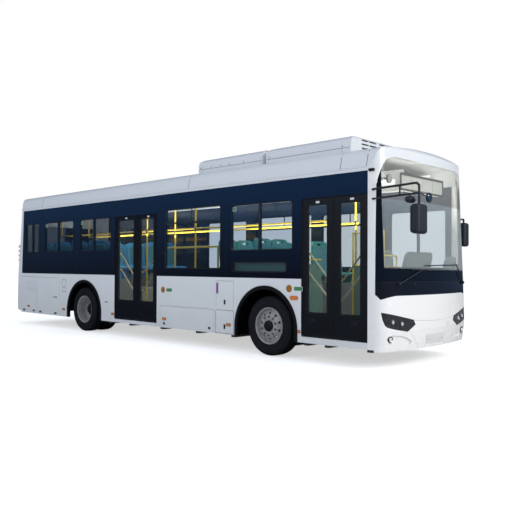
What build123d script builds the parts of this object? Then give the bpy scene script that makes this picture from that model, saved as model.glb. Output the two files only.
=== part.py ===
"""Low-floor electric city bus with two doors, as an assembly of its panels, running gear and cabin fittings.

Millimetres. +X is forward, +Y is left, +Z is up. The origin is on the ground at the middle of the bus.
Lengthwise places are given as distances ahead of the front axle, through ahead().
"""
from build123d import *
from math import cos, radians, sin, sqrt
import os

# ---------------------------------------------------------------- driving dimensions
BODY_WIDTH = 2500
AXLE_FRONT_X = 2840          # front axle, ahead of the middle of the bus
WHEELBASE = 5400
NOSE = 2240                  # foremost point of the bumper, ahead of the front axle
TAIL = -8460                 # rearmost point of the body, from the front axle
SKIRT_Z = 276                # underside of the side skirts
BAND_LOW_Z = 1228            # lower edge of the dark window band
BAND_TOP_Z = 2734            # upper edge of the dark window band
ROOF_Z = 3120                # crown of the roof
WALL = 60                    # body wall, from outer skin to inner lining
MASK_WALL = 40               # moulded front mask and bumpers
GLASS = 8
NOSE_RADIUS = 5600           # bow of the front in plan
CORNER_FRONT = 180           # front corners in plan
CORNER_REAR = 130            # rear corners in plan
SEAM = 6                     # open joint round lids and doors
SEAT_GAP = 0.3               # clearance of a lid on its seal
FLAP_THICK = 25
FLAP_LIP = 30                # width of the seal that a lid lies on

FLOOR_Z = 330                # low floor
PLATFORM_Z = 920             # rear floor over the axle and the batteries
FLOOR_THICK = 50
CEILING_Z = 2800             # underside of the ceiling over the aisle
CEILING_END = 1500           # front edge of the ceiling, ahead of the front axle

TYRE_RADIUS = 472
TYRE_WIDTH = 275
RIM_RADIUS = 286             # seat of the tyre
WHEEL_INSET = 50             # outer tyre wall, inside the body side
TWIN_PITCH = 330             # between the two tyres of a twin pair
KINGPIN_INSET = 112          # kingpin, inside the middle of the tyre

HALF_WIDTH = BODY_WIDTH / 2
HUB_Z = TYRE_RADIUS
WHEEL_Y = HALF_WIDTH - WHEEL_INSET - TYRE_WIDTH / 2
KINGPIN_Y = WHEEL_Y - KINGPIN_INSET
RIGHT, LEFT = -1, 1


def ahead(distance):
    """X of a place given by its distance ahead of the front axle."""
    return AXLE_FRONT_X + distance


REAR_AXLE = -WHEELBASE


# ---------------------------------------------------------------- shapes used all over
def block(x0, x1, y0, y1, z0, z1):
    lo = (min(x0, x1), min(y0, y1), min(z0, z1))
    size = (abs(x1 - x0), abs(y1 - y0), abs(z1 - z0))
    return Pos(*lo) * Box(*size, align=(Align.MIN, Align.MIN, Align.MIN))


def side_prism(outline, y0, y1):
    """A side-view outline of (distance ahead of the front axle, z), carried across from y0 to y1."""
    face = make_face(Polyline(*[(ahead(x), y0, z) for x, z in outline], close=True))
    return extrude(face, amount=y1 - y0, dir=(0, 1, 0))


def front_prism(outline, x0, x1):
    """A front-view outline of (y, z), carried lengthwise between two distances ahead of the front axle."""
    face = make_face(Polyline(*[(ahead(x0), y, z) for y, z in outline], close=True))
    return extrude(face, amount=x1 - x0, dir=(1, 0, 0))


def rounded_panel(x0, x1, z0, z1, radius, y0, y1):
    """A panel in the side plane with rounded corners; x as distances ahead of the front axle."""
    face = RectangleRounded(x1 - x0, z1 - z0, radius)
    placed = Plane(origin=(ahead((x0 + x1) / 2), y0, (z0 + z1) / 2), x_dir=(1, 0, 0), z_dir=(0, 1, 0)) * face
    return extrude(placed, amount=y1 - y0, dir=(0, 1, 0))


def rod(start, end, radius):
    """A round bar between two points."""
    a, b = Vector(*start), Vector(*end)
    return Plane(origin=a, z_dir=b - a) * Cylinder(radius, (b - a).length, align=(Align.CENTER, Align.CENTER, Align.MIN))


def tube(points, radius):
    """A round tube along straight runs, rounded at each bend."""
    run = rod(points[0], points[1], radius)
    for corner, after in zip(points[1:], points[2:]):
        run += Pos(*corner) * Sphere(radius)
        run += rod(corner, after, radius)
    return run


# ---------------------------------------------------------------- outer form of the body
# z, how far the nose is ahead of the front axle, how far the tail is behind it
HULL_STATIONS = [
    (250, NOSE - 20, TAIL + 20),
    (530, NOSE + 18, TAIL),
    (1200, NOSE, TAIL + 20),
    (3200, NOSE - 85, TAIL + 230),
]


def plan_face(z, nose, tail, half, inset):
    bow = NOSE_RADIUS - sqrt(NOSE_RADIUS ** 2 - half ** 2)
    front = ahead(nose)
    arc = ThreePointArc((front - bow, -half), (front, 0), (front - bow, half))
    rest = Polyline((front - bow, half), (ahead(tail), half), (ahead(tail), -half), (front - bow, -half))
    face = make_face(arc + rest)
    ends = face.vertices().sort_by(Axis.X)
    face = fillet(ends[2:], CORNER_FRONT - inset)
    ends = face.vertices().sort_by(Axis.X)
    face = fillet(ends[:2], CORNER_REAR - inset)
    return Pos(0, 0, z) * face


def roof_section(inset):
    """Cross-section of the body: upright sides, leaning coves and a crowned roof."""
    half = HALF_WIDTH - inset
    shoulder, cove = (half, 2785), (1205 - inset, 2965 - 0.3 * inset)
    edge, crown = (1090 - 0.7 * inset, 3062 - inset), ROOF_Z - inset
    x = ahead(TAIL) - 100
    foot = (shoulder[0] + 1.1 * (shoulder[0] - cove[0]), shoulder[1] - 1.1 * (cove[1] - shoulder[1]))
    low = Polyline((x, -foot[0], foot[1]), (x, -foot[0], 0), (x, foot[0], 0), (x, *foot))
    lines = [low]
    for side in (-1, 1):
        lines.append(Line((x, side * foot[0], foot[1]), (x, side * cove[0], cove[1])))
        middle = ((cove[0] + edge[0]) / 2 + 18, (cove[1] + edge[1]) / 2 + 14)
        lines.append(ThreePointArc((x, side * cove[0], cove[1]), (x, side * middle[0], middle[1]), (x, side * edge[0], edge[1])))
    lines.append(ThreePointArc((x, -edge[0], edge[1]), (x, 0, crown), (x, edge[0], edge[1])))
    return extrude(make_face(lines), amount=NOSE - TAIL + 200, dir=(1, 0, 0))


def tail_section(inset):
    """Side view of the body with its rounded upper edge at the tail."""
    y = -HALF_WIDTH - 50
    back, top = TAIL + 196 + inset, ROOF_Z + 24 - inset

    def p(x, z):
        return (ahead(x), y, z)

    lines = [
        Polyline(p(back, 2900 - inset), p(TAIL - 200, 2900 - inset), p(TAIL - 200, 0), p(NOSE + 200, 0), p(NOSE + 200, top),
                 p(back + 210, top)),
        ThreePointArc(p(back, 2900 - inset), p(back + 62, top - 62), p(back + 210, top)),
    ]
    return extrude(make_face(lines), amount=BODY_WIDTH + 100, dir=(0, 1, 0))


def brow(inset):
    """What rounds off the upper edge of the nose, turned about the centre of its bow."""
    centre = ahead(NOSE - 76) - NOSE_RADIUS
    radius, top = NOSE_RADIUS - inset, ROOF_Z + 14 - inset
    rounding = ThreePointArc((radius + 12, 0, top - 190), (radius - 34, 0, top - 40), (radius - 170, 0, top))
    rest = Polyline((radius - 170, 0, top), (radius - 170, 0, top + 200), (radius + 300, 0, top + 200),
                    (radius + 300, 0, top - 190), (radius + 12, 0, top - 190))
    spread = 25
    turned = revolve(Rot(0, 0, -spread) * make_face([rounding, rest]), axis=Axis.Z, revolution_arc=2 * spread)
    return Pos(centre, 0, 0) * turned


def hull(inset):
    """The whole body as one block, its skin moved inwards by inset."""
    faces = [plan_face(z, nose - inset, tail + inset, HALF_WIDTH - inset, inset) for z, nose, tail in HULL_STATIONS]
    return (loft(faces, ruled=True) & roof_section(inset) & tail_section(inset)) - brow(inset)


OUTER = hull(0)
INNER = hull(WALL)
WALL_SKIN = OUTER - INNER
MASK_SKIN = OUTER - hull(MASK_WALL)
GLASS_SKIN = OUTER - hull(GLASS)
FLAP_SKIN = OUTER - hull(FLAP_THICK)
LAMP_FACE, LAMP_FLOOR = hull(10), hull(24)
# recesses of each depth moulded into the front
SUNK = {5: OUTER - hull(5), 10: OUTER - LAMP_FACE, 24: OUTER - LAMP_FLOOR}


def skin_x(y, z):
    """Outer face of the front at y, z between its corners, ahead of the front axle."""
    low, high = [pair for pair in zip(HULL_STATIONS, HULL_STATIONS[1:]) if z >= pair[0][0]][-1]
    nose = low[1] + (high[1] - low[1]) * (z - low[0]) / (high[0] - low[0])
    return nose - (NOSE_RADIUS - sqrt(NOSE_RADIUS ** 2 - y ** 2))


# ---------------------------------------------------------------- openings in the body, from the front axle
# start, end, sill height, header height, where the leaves meet
DOORS = {
    "front": (710, 1884, 366, 2420, 1300),
    "middle": (-4176, -2785, 340, 2400, -3430),
}
# x0, x1, z0, z1 of each side window, x of the posts and z of the rails behind its glass
WINDOWS_RIGHT = [
    (-8000, -7330, 1720, 2400, [-7654], []),
    (-7044, -5777, 1725, 2400, [-6448], []),
    (-5509, -4320, 1720, 2400, [-4975], []),
    (-2550, -1052, 1367, 2440, [], [2190]),
    (-798, 538, 1669, 2414, [-160], []),
    (-770, 420, 1319, 1479, [], []),
]
WINDOWS_LEFT = [
    (-8000, -7330, 1720, 2400, [-7654], []),
    (-7044, -5777, 1725, 2400, [-6448], []),
    (-5609, -4320, 1720, 2400, [-4975], []),
    (-4100, -2850, 1367, 2400, [-3475], []),
    (-2550, -1052, 1367, 2440, [], [2190]),
    (-798, 470, 1400, 2414, [], [2190]),
    (723, 1783, 1394, 2370, [1270], []),
]
BAR = 36
WINDOW_CORNER = 45
ARCHES = [(-28, 662, 438), (REAR_AXLE + 75, 672, 428)]      # middle, radius, height of its centre
REAR_WINDOW = (880, 1720, 2400)                             # half width, sill, header
TAIL_JOINT = [(-8160, 0), (-8160, BAND_LOW_Z), (-8100, BAND_TOP_Z), (-8100, ROOF_Z + 100)]
PILLAR_X = 1884
SCREEN_X = 2000                                             # side edge of the windscreen
BUMPER_X = 1983


def arch_cut(side):
    cuts = []
    for middle, radius, height in ARCHES:
        ring = Pos(ahead(middle), side * HALF_WIDTH, height) * Rot(90, 0, 0) * Cylinder(radius, 300)
        legs = block(ahead(middle) - radius, ahead(middle) + radius, side * (HALF_WIDTH - 150), side * (HALF_WIDTH + 150), 0, height)
        cuts.append(ring + legs)
    return cuts


def across(side, depth=200):
    """Y range that passes through one side wall."""
    return sorted((side * (HALF_WIDTH - depth), side * (HALF_WIDTH + 50)))


def door_cut():
    low, high = across(RIGHT)
    return [block(ahead(x0), ahead(x1), low, high, sill, header) for x0, x1, sill, header, _ in DOORS.values()]


TRIM_DEEP, TRIM_PROUD, TRIM_LIP, TRIM_THICK = 45, 12, 8, 52


def arch_trims():
    """Black flared trim round each wheel arch: a lining in the opening with a lip over the skirt."""
    trims = []
    for side in (RIGHT, LEFT):
        inner, face, proud = [side * (HALF_WIDTH + d) for d in (-TRIM_DEEP, 0, TRIM_PROUD)]
        for middle, radius, height in ARCHES:
            trim = arch_band(middle, height, radius - TRIM_THICK, radius - SEAT_GAP, inner, face)
            trim += arch_band(middle, height, radius - TRIM_THICK, radius + TRIM_LIP, face, proud)
            trims.append(trim)
    return trims


def arch_band(middle, height, inner, outer, y0, y1):
    """An arch with upright legs down to the bottom of the skirt, between two depths."""
    low, high = sorted((y0, y1))
    turned = Pos(ahead(middle), (low + high) / 2, height) * Rot(90, 0, 0)
    above = block(ahead(middle - 800), ahead(middle + 800), low, high, height, height + 800)
    band = turned * Cylinder(outer, high - low) & above
    band += block(ahead(middle - outer), ahead(middle + outer), low, high, SKIRT_Z, height)
    band -= turned * Cylinder(inner, high - low + 2)
    return band - block(ahead(middle - inner), ahead(middle + inner), low - 1, high + 1, 0, height)


# ---------------------------------------------------------------- lids in the skirts
# name: x0, x1, z0, z1, top-hinged and opening outwards
FLAPS = {
    "battery_flap": (-2684, -1203, SKIRT_Z, 680),
    "charge_flap": (-1154, -730, 712, 1166),
    "rear_flap_fore": (-6355, -7380, SKIRT_Z, 1140),
    "rear_flap_aft": (-7400, -8150, SKIRT_Z, 1152),
}
ENGINE_LID = (960, 620, 1560)                               # half width, sill, header


def flap_box(name, grow, deep):
    x0, x1, z0, z1 = FLAPS[name]
    x0, x1 = sorted((x0, x1))
    low = 0 if z0 == SKIRT_Z and grow >= 0 else z0 - grow
    return block(ahead(x0 - grow), ahead(x1 + grow), -HALF_WIDTH - 50, -HALF_WIDTH + deep, low, z1 + grow)


def side_skirt(side):
    region = side_prism([(PILLAR_X, 0), *TAIL_JOINT[:2], (PILLAR_X, BAND_LOW_Z)], *across(side, WALL + 10))
    panel = WALL_SKIN & region
    panel -= block(ahead(TAIL), ahead(NOSE), -2000, 2000, 0, SKIRT_Z)
    for cut in arch_cut(side):
        panel -= cut
    if side == RIGHT:
        for cut in door_cut():
            panel -= cut
        for name in FLAPS:
            panel -= flap_box(name, 0, FLAP_THICK + SEAT_GAP)
            panel -= flap_box(name, -FLAP_LIP, WALL + 10)
    return panel


def flap(name):
    x0, x1, z0, z1 = FLAPS[name]
    x0, x1 = sorted((x0, x1))
    return block(ahead(x0 + SEAM), ahead(x1 - SEAM), -HALF_WIDTH, -HALF_WIDTH + FLAP_THICK, z0, z1 - SEAM)


def window_band(side):
    outline = [(PILLAR_X, BAND_LOW_Z), *TAIL_JOINT[1:3], (PILLAR_X, BAND_TOP_Z)]
    panel = WALL_SKIN & side_prism(outline, *across(side, WALL + 80))
    low, high = sorted((side * (HALF_WIDTH - 2 - GLASS - SEAT_GAP), side * (HALF_WIDTH - WALL + 10)))
    for x0, x1, z0, z1, posts, rails in (WINDOWS_RIGHT if side == RIGHT else WINDOWS_LEFT):
        panel -= rounded_panel(x0, x1, z0, z1, WINDOW_CORNER, *across(side, WALL + 10))
        for x in posts:
            panel += block(ahead(x - BAR / 2), ahead(x + BAR / 2), low, high, z0 - 1, z1 + 1)
        for z in rails:
            panel += block(ahead(x0 - 1), ahead(x1 + 1), low, high, z - BAR / 2, z + BAR / 2)
    if side == RIGHT:
        for cut in door_cut():
            panel -= cut
    return panel


def window_glass():
    panes = []
    for side, windows in ((RIGHT, WINDOWS_RIGHT), (LEFT, WINDOWS_LEFT)):
        low, high = sorted((side * (HALF_WIDTH - 2), side * (HALF_WIDTH - 2 - GLASS)))
        panes += [rounded_panel(x0, x1, z0, z1, WINDOW_CORNER, low, high) for x0, x1, z0, z1, _, _ in windows]
    rear = GLASS_SKIN & rear_window_cut()
    return panes + [rear]


def rear_window_cut():
    half, z0, z1 = REAR_WINDOW
    return block(ahead(TAIL - 100), ahead(TAIL + 400), -half, half, z0, z1)


# ---------------------------------------------------------------- body panels
def roof_shell():
    above = block(ahead(TAIL - 50), ahead(NOSE + 50), -2000, 2000, BAND_TOP_Z, ROOF_Z + 100)
    return (WALL_SKIN & above) - windscreen_region()


def ceiling():
    """Ceiling lining with an air duct sloping down to each side wall; roof_shell and it stand apart."""
    wall, duct, thick = HALF_WIDTH - WALL, 330, 20
    outline = [(-wall, CEILING_Z - 46), (-wall + duct, CEILING_Z), (wall - duct, CEILING_Z), (wall, CEILING_Z - 46),
               (wall, CEILING_Z - 46 + thick), (wall - duct, CEILING_Z + thick), (-wall + duct, CEILING_Z + thick),
               (-wall, CEILING_Z - 46 + thick)]
    return front_prism(outline, TAIL + 330, CEILING_END)


def windscreen_region():
    """Where the windscreen goes: wrapped round the corners, its upper corners rounded."""
    x, sill, top = ahead(SCREEN_X), 1200, 2936
    edges = [ThreePointArc((x, -835, top), (x, 0, 2914), (x, 835, top)),
             Polyline((x, -1212, 2550), (x, -1300, 2500), (x, -1300, sill), (x, 1300, sill), (x, 1300, 2500), (x, 1212, 2550))]
    for side in (RIGHT, LEFT):
        edges.append(ThreePointArc((x, side * 1212, 2550), (x, side * 1193, 2659), (x, side * 1159, 2754)))
        edges.append(ThreePointArc((x, side * 1159, 2754), (x, side * 1114, 2842), (x, side * 1040, 2900)))
        edges.append(ThreePointArc((x, side * 1040, 2900), (x, side * 945, 2930), (x, side * 835, top)))
    return extrude(make_face(edges), amount=600, dir=(1, 0, 0))


def cowl_region():
    """The black panel under the windscreen, drawn down to a point at each corner."""
    outline = [(-1300, 1200), (-1290, 1130), (-1217, 963), (-1130, 990), (-976, 1012), (976, 1012), (1130, 990), (1217, 963),
               (1290, 1130), (1300, 1200)]
    return front_prism(outline, SCREEN_X, 2600)


def bumper_region(gap=0):
    """The bumper's reach in side view; gap opens the shadow line under the mask."""
    outline = [(BUMPER_X, 0), (BUMPER_X, 790), (2071, 790), (2092, 725), (2222, 660 + gap), (2254, 631 + gap),
               (2600, 631 + gap), (2600, 0)]
    return side_prism(outline, -1300, 1300)


PANEL_GAP = 8
HEADLAMP = [(-1214, 790), (-980, 746), (-606, 672), (-560, 603), (-740, 510), (-987, 549), (-1144, 584), (-1176, 612),
            (-1199, 679)]


def headlamp_region(side):
    return front_prism([(-side * y, z) for y, z in HEADLAMP], 2058, 2600)


def front_mask():
    region = block(ahead(PILLAR_X), ahead(NOSE + 50), -2000, 2000, SKIRT_Z, BAND_TOP_Z)
    mask = (MASK_SKIN & region) - windscreen_region() - cowl_region() - bumper_region(PANEL_GAP)
    for side in (RIGHT, LEFT):
        mask -= headlamp_region(side)
    return mask


def sunk(outline, depth):
    """A recess of that depth in the skin of the front, within a front-view outline."""
    return SUNK[depth] & front_prism(outline, 1950, 2600)


PLATE = [(-280, 294), (280, 294), (280, 438), (-280, 438)]
FOG_POCKET = [(-1145, 424), (-1120, 462), (-1029, 475), (-850, 457), (-714, 420), (-620, 365), (-650, 335), (-850, 330),
              (-1082, 357)]
CENTRE_SEAM = [(-690, 511), (-569, 410), (-461, 272), (-452, 272), (-561, 412), (-680, 511)]
FOG_LAMP = (-1062, 415, 46)                                 # y, z, radius
# y, z, radius of the two lenses of a headlamp
LENSES = [(-1023, 652, 42), (-837, 622, 42)]
HEADLAMP_GLASS = [(-1186, 730), (-972, 700), (-640, 644), (-618, 612), (-747, 553), (-985, 588), (-1140, 618), (-1168, 650)]


def mirrored(outline, side):
    return [(-side * y, z) for y, z in outline]


def front_bumper():
    bumper = (MASK_SKIN & bumper_region()) - sunk(PLATE, 10)
    for side in (RIGHT, LEFT):
        bumper -= headlamp_region(side)
        bumper -= sunk(mirrored(FOG_POCKET, side), 24)
        bumper -= sunk(mirrored(CENTRE_SEAM, side), 5)
    return bumper


def front_lens(y, z, radius):
    """A round lamp in a recess of the front, its face following the skin."""
    return Pos(ahead(1990), y, z) * Rot(0, 90, 0) * Cylinder(radius, 600) & (LAMP_FACE - LAMP_FLOOR)


def headlamps():
    lamps = []
    for side in (RIGHT, LEFT):
        housing = MASK_SKIN & headlamp_region(side)
        housing -= sunk(mirrored(HEADLAMP_GLASS, side), 24)
        for y, z, radius in LENSES:
            housing += front_lens(-side * y, z, radius)
        lamps.append(housing)
        y, z, radius = FOG_LAMP
        lamps.append(front_lens(-side * y, z, radius))
    return lamps


def rear_panel():
    panel = WALL_SKIN & side_prism([*TAIL_JOINT[1:3], (TAIL - 100, BAND_TOP_Z), (TAIL - 100, 366), (-8160, 300)], -1300, 1300)
    panel -= rear_window_cut()
    half, z0, z1 = ENGINE_LID
    opening = block(ahead(TAIL - 100), ahead(TAIL + 400), -half, half, z0, z1)
    panel -= opening & FLAP_SKIN
    half, z0, z1 = half - FLAP_LIP, z0 + FLAP_LIP, z1 - FLAP_LIP
    panel -= block(ahead(TAIL - 100), ahead(TAIL + 400), -half, half, z0, z1)
    for bore in lamp_bores():
        panel -= bore
    return panel


def lamp_bores():
    """Four round lamps in a column beside each rear corner."""
    return [Pos(ahead(TAIL - 100), side * 1120, 1560 + 105 * k) * Rot(0, 90, 0) * Cylinder(42, 700)
            for side in (RIGHT, LEFT) for k in range(4)]


def engine_lid():
    half, z0, z1 = ENGINE_LID
    lid = FLAP_SKIN & block(ahead(TAIL - 100), ahead(TAIL + 400), -half + SEAM, half - SEAM, z0 + SEAM, z1 - SEAM)
    return Pos(-SEAT_GAP, 0, 0) * lid


def tail_lamps():
    return [WALL_SKIN & bore for bore in lamp_bores()]


# ---------------------------------------------------------------- underframe and floor
RAIL_Y = 430                 # middle of the long rails
RAIL_Z = (215, FLOOR_Z - FLOOR_THICK)
WELL_INNER = 590             # front wheel wells, inner wall
TWIN_WELL_INNER = 560        # rear wheel wells, inner wall
WELL_TOP = 1130
WELL_WALL = 15
STEP_X = (-4650, -4350)      # the two steps up to the rear floor
FRONT_WELL = (-720, 600)
REAR_WELL = (REAR_AXLE - 620, REAR_AXLE + 765)
PODIUM_X = -1190             # rear end of the closed podium behind each front wheel


def chassis_frame():
    """Two long rails with cross-members; behind the low floor they rise over the rear axle."""
    z0, z1 = RAIL_Z
    top = PLATFORM_Z - FLOOR_THICK
    front, rear = 1930, -8150
    step0, step1 = STEP_X[1] - FLOOR_THICK, STEP_X[0] - FLOOR_THICK
    outline = [(front, z0), (front, z1), (step0 - 20, z1), (step1 - 20, z1 + 270), (step1 - 90, top), (rear, top), (rear, top - 110),
               (step1 - 170, top - 110), (step1 - 100, z1 + 170), (step0 - 40, z0)]
    frame = None
    for side in (RIGHT, LEFT):
        rail = side_prism(outline, side * RAIL_Y - 40, side * RAIL_Y + 40)
        frame = rail if frame is None else frame + rail
    for x in (1880, 1150, 760, -800, -1700, -2700, -3700, -4400):
        frame += block(ahead(x - 40), ahead(x + 40), -HALF_WIDTH + WALL, HALF_WIDTH - WALL, z1 - 50, z1)
    for x in (-4800, -6150, -7300, -8100):
        frame += block(ahead(x - 40), ahead(x + 40), -RAIL_Y, RAIL_Y, top - 80, top)
    for side in (RIGHT, LEFT):                  # jacking pads
        for x in (-1000, -4300):
            frame += block(ahead(x - 60), ahead(x + 60), side * RAIL_Y - 60, side * RAIL_Y + 60, z0 - 15, z0 + 5)
    return frame


def floor():
    """Low floor, two steps and rear platform in one piece, with the wheel wells standing up through it."""
    z, top, t = FLOOR_Z, PLATFORM_Z, FLOOR_THICK
    step = z + (top - z) / 2
    outline = [(1940, z), (STEP_X[1], z), (STEP_X[1], step), (STEP_X[0], step), (STEP_X[0], top), (-8080, top), (-8080, top - t),
               (STEP_X[0] - t, top - t), (STEP_X[0] - t, step - t), (STEP_X[1] - t, step - t), (STEP_X[1] - t, z - t), (1940, z - t)]
    inside = HALF_WIDTH - WALL
    deck = side_prism(outline, -inside, inside)
    deck += block(ahead(FRONT_WELL[1] - 5), ahead(1890), 200, inside, z - t, DRIVER_DECK)
    for side in (RIGHT, LEFT):
        for inner, back, front, bottom in ((WELL_INNER, PODIUM_X, FRONT_WELL[1], z - t), (TWIN_WELL_INNER, *REAR_WELL, 400)):
            low, high = sorted((side * inner, side * inside))
            deck += block(ahead(back), ahead(front), low, high, bottom, WELL_TOP)
        for inner, x0, x1 in ((WELL_INNER, *FRONT_WELL), (TWIN_WELL_INNER, *REAR_WELL)):
            low, high = sorted((side * (inner + WELL_WALL), side * (inside + 10)))
            deck -= block(ahead(x0 + WELL_WALL), ahead(x1 - WELL_WALL), low, high, 0, WELL_TOP - WELL_WALL)
    for side in (RIGHT, LEFT):                  # closes the wheel arch ahead of each front well
        low, high = sorted((side * (inside - WELL_WALL), side * inside))
        deck += block(ahead(FRONT_WELL[1] - 5), ahead(650), low, high, z - t, 700)
    for side in (RIGHT, LEFT):                  # the rear axle passes under the platform into its wells
        low, high = sorted((side * (TWIN_WELL_INNER - 20), side * (TWIN_WELL_INNER + 60)))
        deck -= block(ahead(REAR_AXLE - 110), ahead(REAR_AXLE + 110), low, high, 0, 640)
    return deck


# ---------------------------------------------------------------- running gear
def front_axle():
    """Dropped beam under the low floor, cranked up to an upright kingpin at each end."""
    beam = block(ahead(-60), ahead(60), -780, 780, 115, 200)
    for side in (RIGHT, LEFT):
        crank = [(700, 115), (800, 115), (KINGPIN_Y - 65, 300), (KINGPIN_Y - 65, 425), (KINGPIN_Y, 425), (KINGPIN_Y, 510),
                 (KINGPIN_Y - 90, 510), (KINGPIN_Y - 150, 300), (760, 200), (700, 200)]
        beam += front_prism([(side * y, z) for y, z in crank], -45, 45)
        beam += Pos(ahead(0), side * KINGPIN_Y, HUB_Z) * Cylinder(48, 106)
        beam += Pos(ahead(0), side * KINGPIN_Y, HUB_Z) * Cylinder(22, 200)
        beam += block(ahead(-60), ahead(60), side * RAIL_Y - 50, side * RAIL_Y + 50, 200, RAIL_Z[0])   # spring seat
    return beam


def knuckle(side):
    """Forked stub axle on the kingpin."""
    y = side * KINGPIN_Y
    fork = Pos(ahead(0), y, HUB_Z + 75) * Cylinder(45, 34) + Pos(ahead(0), y, HUB_Z - 75) * Cylinder(45, 34)
    low, high = sorted((side * (KINGPIN_Y + 56), side * (KINGPIN_Y + 90)))
    fork += block(ahead(-45), ahead(45), low, high, HUB_Z - 92, HUB_Z + 92)
    for z in (HUB_Z + 75, HUB_Z - 75):
        low, high = sorted((y, side * (KINGPIN_Y + 60)))
        fork += block(ahead(-30), ahead(30), low, high, z - 17, z + 17)
    fork -= Pos(ahead(0), y, HUB_Z) * Cylinder(22.06, 300)
    stub = Cylinder(40, 140, align=(Align.CENTER, Align.CENTER, Align.MIN))
    stub = Pos(ahead(0), side * (KINGPIN_Y + 60), HUB_Z) * Rot(-90 * side, 0, 0) * stub
    return fork + stub


def rear_axle():
    """Drive axle with its final drive in the middle and a stub in each hub."""
    centre = (ahead(REAR_AXLE), 0, HUB_Z)
    housing = Pos(*centre) * Rot(90, 0, 0) * Cylinder(75, 1100)
    housing += Pos(*centre) * Rot(90, 0, 0) * Cylinder(210, 190)
    housing += Pos(centre[0] + 230, 0, HUB_Z) * Rot(0, 90, 0) * Cylinder(85, 260)
    housing += Pos(*centre) * Rot(90, 0, 0) * Cylinder(40, 2 * (WHEEL_Y - 40))
    for side in (RIGHT, LEFT):
        housing += block(centre[0] - 60, centre[0] + 60, side * RAIL_Y - 45, side * RAIL_Y + 45, HUB_Z + 40,
                         PLATFORM_Z - FLOOR_THICK - 110)
    return housing


STUB_RADIUS = 40
HUB_BORE = STUB_RADIUS + 0.06
# distance from the tyre's middle, radius
TYRE_PROFILE = [(-111.7, RIM_RADIUS + 0.2), (-111.7, 298.6), (-120, 300), (-132, 312), (-137.5, 360), (-137.5, 400),
                (-124, TYRE_RADIUS - 26), (-100, TYRE_RADIUS - 4), (-60, TYRE_RADIUS), (60, TYRE_RADIUS),
                (100, TYRE_RADIUS - 4), (124, TYRE_RADIUS - 26), (137.5, 400), (137.5, 360), (132, 312), (120, 300), (111.7, 298.6),
                (111.7, RIM_RADIUS + 0.2)]
# barrel, flanges and the convex disc of a front wheel, outward of the tyre's middle
FRONT_RIM = [(-118, 298), (-112, 298), (-112, RIM_RADIUS), (112, RIM_RADIUS), (112, 298), (120, 298), (124, 290), (118, 270), (60, 262),
             (75, 230), (112, 175), (118, 120), (118, 82), (146, 78), (150, 60), (150, 0.001), (100, 0.001), (100, HUB_BORE), (-20, HUB_BORE),
             (-20, 100), (88, 110), (84, 165), (48, 222), (20, 262), (-100, 268)]


def wheel_at(x, y, shape):
    return Pos(ahead(x), y, HUB_Z) * shape


def upright(profile, side):
    """A turned profile whose outward side faces the given side of the bus."""
    face = make_face(Polyline(*[(r, 0, d) for d, r in profile], close=True))
    return Rot(-90 * side, 0, 0) * revolve(face, axis=Axis.Z)


def tyre_ring(side):
    return upright(TYRE_PROFILE, side)


def front_tyre(side):
    return wheel_at(0, side * WHEEL_Y, tyre_ring(side))


def rear_tyres(side):
    return [wheel_at(REAR_AXLE, side * y, tyre_ring(side)) for y in (WHEEL_Y, WHEEL_Y - TWIN_PITCH)]


def front_rim(side):
    rim = upright(FRONT_RIM, side)
    holes = [Rot(0, 36 * k, 0) * Pos(0, 0, 202) * Rot(90, 0, 0) * Cylinder(21, 300) for k in range(10)]
    for hole in holes:
        rim -= hole
    return wheel_at(0, side * WHEEL_Y, rim)


# both rims of a twin pair, their discs bolted back to back on one hub; outward of the outer tyre's middle
TWIN_RIM = [(-118, 298), (-112, 298), (-112, RIM_RADIUS), (112, RIM_RADIUS), (112, 298), (120, 298), (124, 290), (118, 270),
            (20, 262), (-60, 258), (-120, 215), (-150, 170), (-150, 150), (-60, 145), (-40, 120), (-36, 88), (0, 82), (0, 0.001),
            (-30, 0.001), (-30, HUB_BORE), (-330, HUB_BORE), (-330, 120), (-180, 130), (-180, 170), (-210, 215), (-270, 258),
            (-350, 262), (-448, 270), (-454, 290), (-450, 298), (-442, 298), (-442, RIM_RADIUS), (-218, RIM_RADIUS), (-218, 298),
            (-212, 298), (-212, 270), (-246, 262), (-196, 215), (-165, 168), (-134, 215), (-84, 262), (-118, 270)]


def rear_rims(side):
    pair = upright(TWIN_RIM, side)
    for k in range(8):
        pair -= Rot(0, 45 * k, 0) * Pos(0, 0, 192) * Rot(90, 0, 0) * Cylinder(17, 900)
    return wheel_at(REAR_AXLE, side * WHEEL_Y, pair)


def battery_pack():
    """Traction battery under the rear platform."""
    half = RAIL_Y + 40
    return block(ahead(-8020), ahead(REAR_WELL[0] - 20), -half, half, 380, PLATFORM_Z - FLOOR_THICK - 110)


# ---------------------------------------------------------------- doors
LEAF_THICK = 36
LEAF_OUT_Y = HALF_WIDTH - 12         # outer face of a closed leaf
LEAF_MID_Y = LEAF_OUT_Y - LEAF_THICK / 2
POST_IN = 60                         # door post, inside the leaf's middle plane
POST_BACK = 30                       # door post, behind the jamb
POST_RADIUS = 18
JAMB_GAP = 13
LEAF_GAP = 12                        # between the two closed leaves
STILE = 105                          # width of a leaf's upright frame members
ARM_THICK = 7
ARM_GAP = 5                          # between an arm and the edge of its leaf
HANGER = 20                          # height of the brackets that hang a leaf on its arms
LEAF_GLASS = (725, 2322)             # lower and upper edge of a leaf's glass
# slanting grab rails of each leaf: x, z of both ends of the upper and the lower one
GRAB_RAILS = {
    "front_door_aft": [(767, 1643, 1205, 1171), (769, 1328, 1205, 903)],
    "front_door_fore": [(1785, 1653, 1392, 1204), (1785, 1356, 1376, 904)],
    "middle_door_aft": [(-4075, 1650, -3525, 1100), (-4075, 1335, -3525, 800)],
    "middle_door_fore": [(-2885, 1607, -3340, 1287), (-2885, 1366, -3340, 938)],
}


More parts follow.
